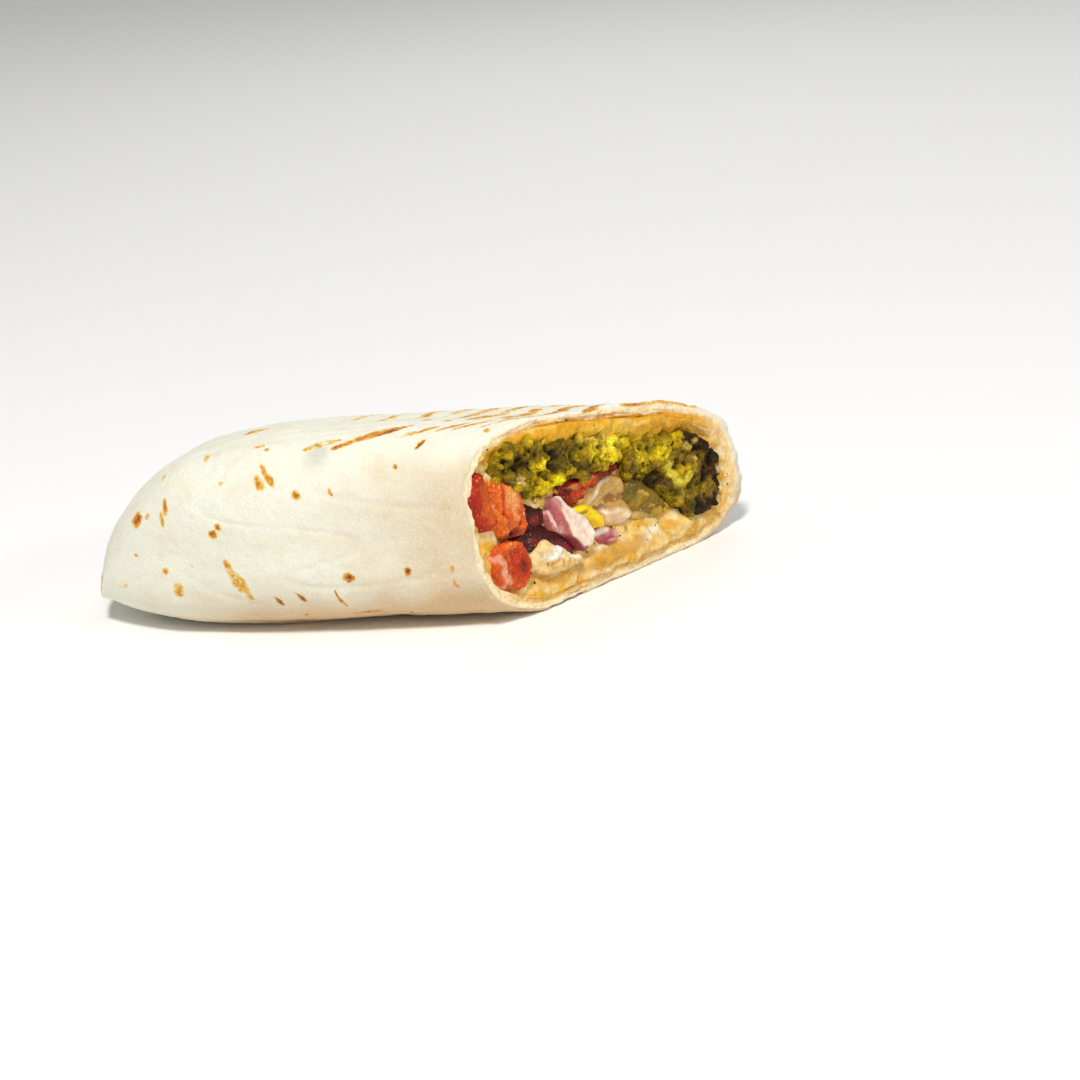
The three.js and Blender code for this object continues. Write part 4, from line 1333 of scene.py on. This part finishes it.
def scattered(name, finish, slot, patches, low, high, seed, pieces):
    """Little uneven bits lying on the pieces given, all in one mesh."""
    generator = np.random.default_rng(seed)
    bm = bmesh.new()
    for along, height, wide, tall, count in patches:
        offsets = generator.normal(0, (wide, tall), (count, 2)).clip(-2 * wide, 2 * wide)
        sizes = generator.uniform(low, high, (count, 1)) * generator.uniform(0.6, 1.2, (count, 3))
        for (aside, up), radii in zip(offsets, sizes):
            start = to_frame(spot_on_cut(along + aside, height + up, 20)[None])[0]
            place = landing(Vector(start), pieces)
            if place:
                add_ball(bm, from_frame(np.array(place)), radii)
    piece = new_piece(name, bm)
    points = points_of(piece.data)
    uneven = 0.35 * high * rough(points, 1.3 * high, 2, seed)
    move_points(piece.data, points + uneven[:, None] * normals_of(piece.data))
    return keep(piece, finish, slot)


def loose_finish(name, dark, light, gloss):
    finish = Finish(name, Roughness=gloss, Specular_IOR_Level=0.25)
    finish.colour(finish.ramp(finish.noise(0.8, 3, 0.6), [(0.3, dark), (0.7, light)]))
    finish.bump(finish.noise(0.3, 3, 0.6), 0.1)
    return finish.material


def loose_pieces(pieces):
    crumb = loose_finish("loose_crumb", srgb(112, 78, 10), srgb(226, 192, 50), 0.6)
    scattered("falafel_crumbs", crumb, "falafel", CRUMB_PATCHES, 0.3, 0.8, 31, pieces)
    speck = loose_finish("dark_speck", srgb(26, 14, 4), srgb(70, 40, 14), 0.5)
    scattered("dark_specks", speck, "falafel_crust", SPECK_PATCHES, 0.14, 0.3, 32, pieces)


# --- Studio ------------------------------------------------------------------------------

CAMERA_AZIMUTH = math.radians(10.0)
CAMERA_ELEVATION = math.radians(18.95)
CAMERA_ROLL = math.radians(-5.85)
CAMERA_DISTANCE = 527 * MM
CAMERA_LENS = 78.0
AIM_RIGHT = 39.3 * MM
AIM_DOWN = 5.5 * MM
FLOOR_HALF = 12.0
SKY_STRENGTH = 0.38


def add_camera():
    middle = Vector(to_frame(np.array([LENGTH / 2, 0.0, 17.0])))
    back = Vector((math.sin(CAMERA_AZIMUTH) * math.cos(CAMERA_ELEVATION),
                   -math.cos(CAMERA_AZIMUTH) * math.cos(CAMERA_ELEVATION),
                   math.sin(CAMERA_ELEVATION)))
    level = Vector((math.cos(CAMERA_AZIMUTH), math.sin(CAMERA_AZIMUTH), 0))
    upright = back.cross(level)
    right = level * math.cos(CAMERA_ROLL) + upright * math.sin(CAMERA_ROLL)
    up = upright * math.cos(CAMERA_ROLL) - level * math.sin(CAMERA_ROLL)
    place = middle + back * CAMERA_DISTANCE
    aim = middle + right * AIM_RIGHT - up * AIM_DOWN
    away = (place - aim).normalized()
    right = up.cross(away).normalized()
    up = away.cross(right)
    camera = bpy.data.objects.new("camera", bpy.data.cameras.new("camera"))
    camera.data.lens = CAMERA_LENS
    camera.data.clip_start = 0.01
    camera.matrix_world = Matrix((right, up, away)).transposed().to_4x4()
    camera.location = place
    bpy.context.scene.collection.objects.link(camera)
    bpy.context.scene.camera = camera


def add_softbox(name, place, aim, size, watts, colour):
    light = bpy.data.lights.new(name, "AREA")
    light.shape = "DISK"
    light.size = size
    light.energy = watts
    light.color = colour
    softbox = bpy.data.objects.new(name, light)
    softbox.location = place
    softbox.rotation_mode = "QUATERNION"
    softbox.rotation_quaternion = (Vector(aim) - Vector(place)).to_track_quat("-Z", "Y")
    bpy.context.scene.collection.objects.link(softbox)


def add_studio():
    bm = bmesh.new()
    bmesh.ops.create_grid(bm, x_segments=1, y_segments=1, size=FLOOR_HALF)
    floor = new_piece("studio_floor", bm)
    finish = Finish("studio_floor", Roughness=0.75, Specular_IOR_Level=0.2)
    shades = [(0.3, (0.935, 0.935, 0.93)), (0.7, (0.95, 0.95, 0.945))]
    finish.colour(finish.ramp(finish.noise(400, 2), shades))
    floor.data.materials.append(finish.material)
    world = bpy.data.worlds.new("studio")
    world.use_nodes = True
    background = world.node_tree.nodes["Background"]
    background.inputs["Color"].default_value = (1.0, 1.0, 1.0, 1)
    background.inputs["Strength"].default_value = SKY_STRENGTH
    bpy.context.scene.world = world
    bpy.context.scene.view_settings.view_transform = "Standard"
    add_softbox("key", (-0.02, -0.56, 0.94), (0, 0, 0.02), 0.2, 8.4, (1.0, 0.985, 0.955))
    add_softbox("fill", (0.95, -0.35, 0.6), (0.02, 0, 0.02), 0.25, 2.0, (1.0, 0.99, 0.97))
    add_softbox("back", (0.1, 0.8, 0.7), (0, 0, 0.02), 0.5, 1.4, (1.0, 1.0, 1.0))


add_camera()
add_studio()
bread = flatbread_piece()
paste = hummus_piece()
falafel_pieces()
tomato_pieces()
pepper_pieces()
onion_pieces()
pale_pieces()
sauce = sauce_piece()
bpy.context.view_layer.update()
loose_pieces([bread, paste, sauce])
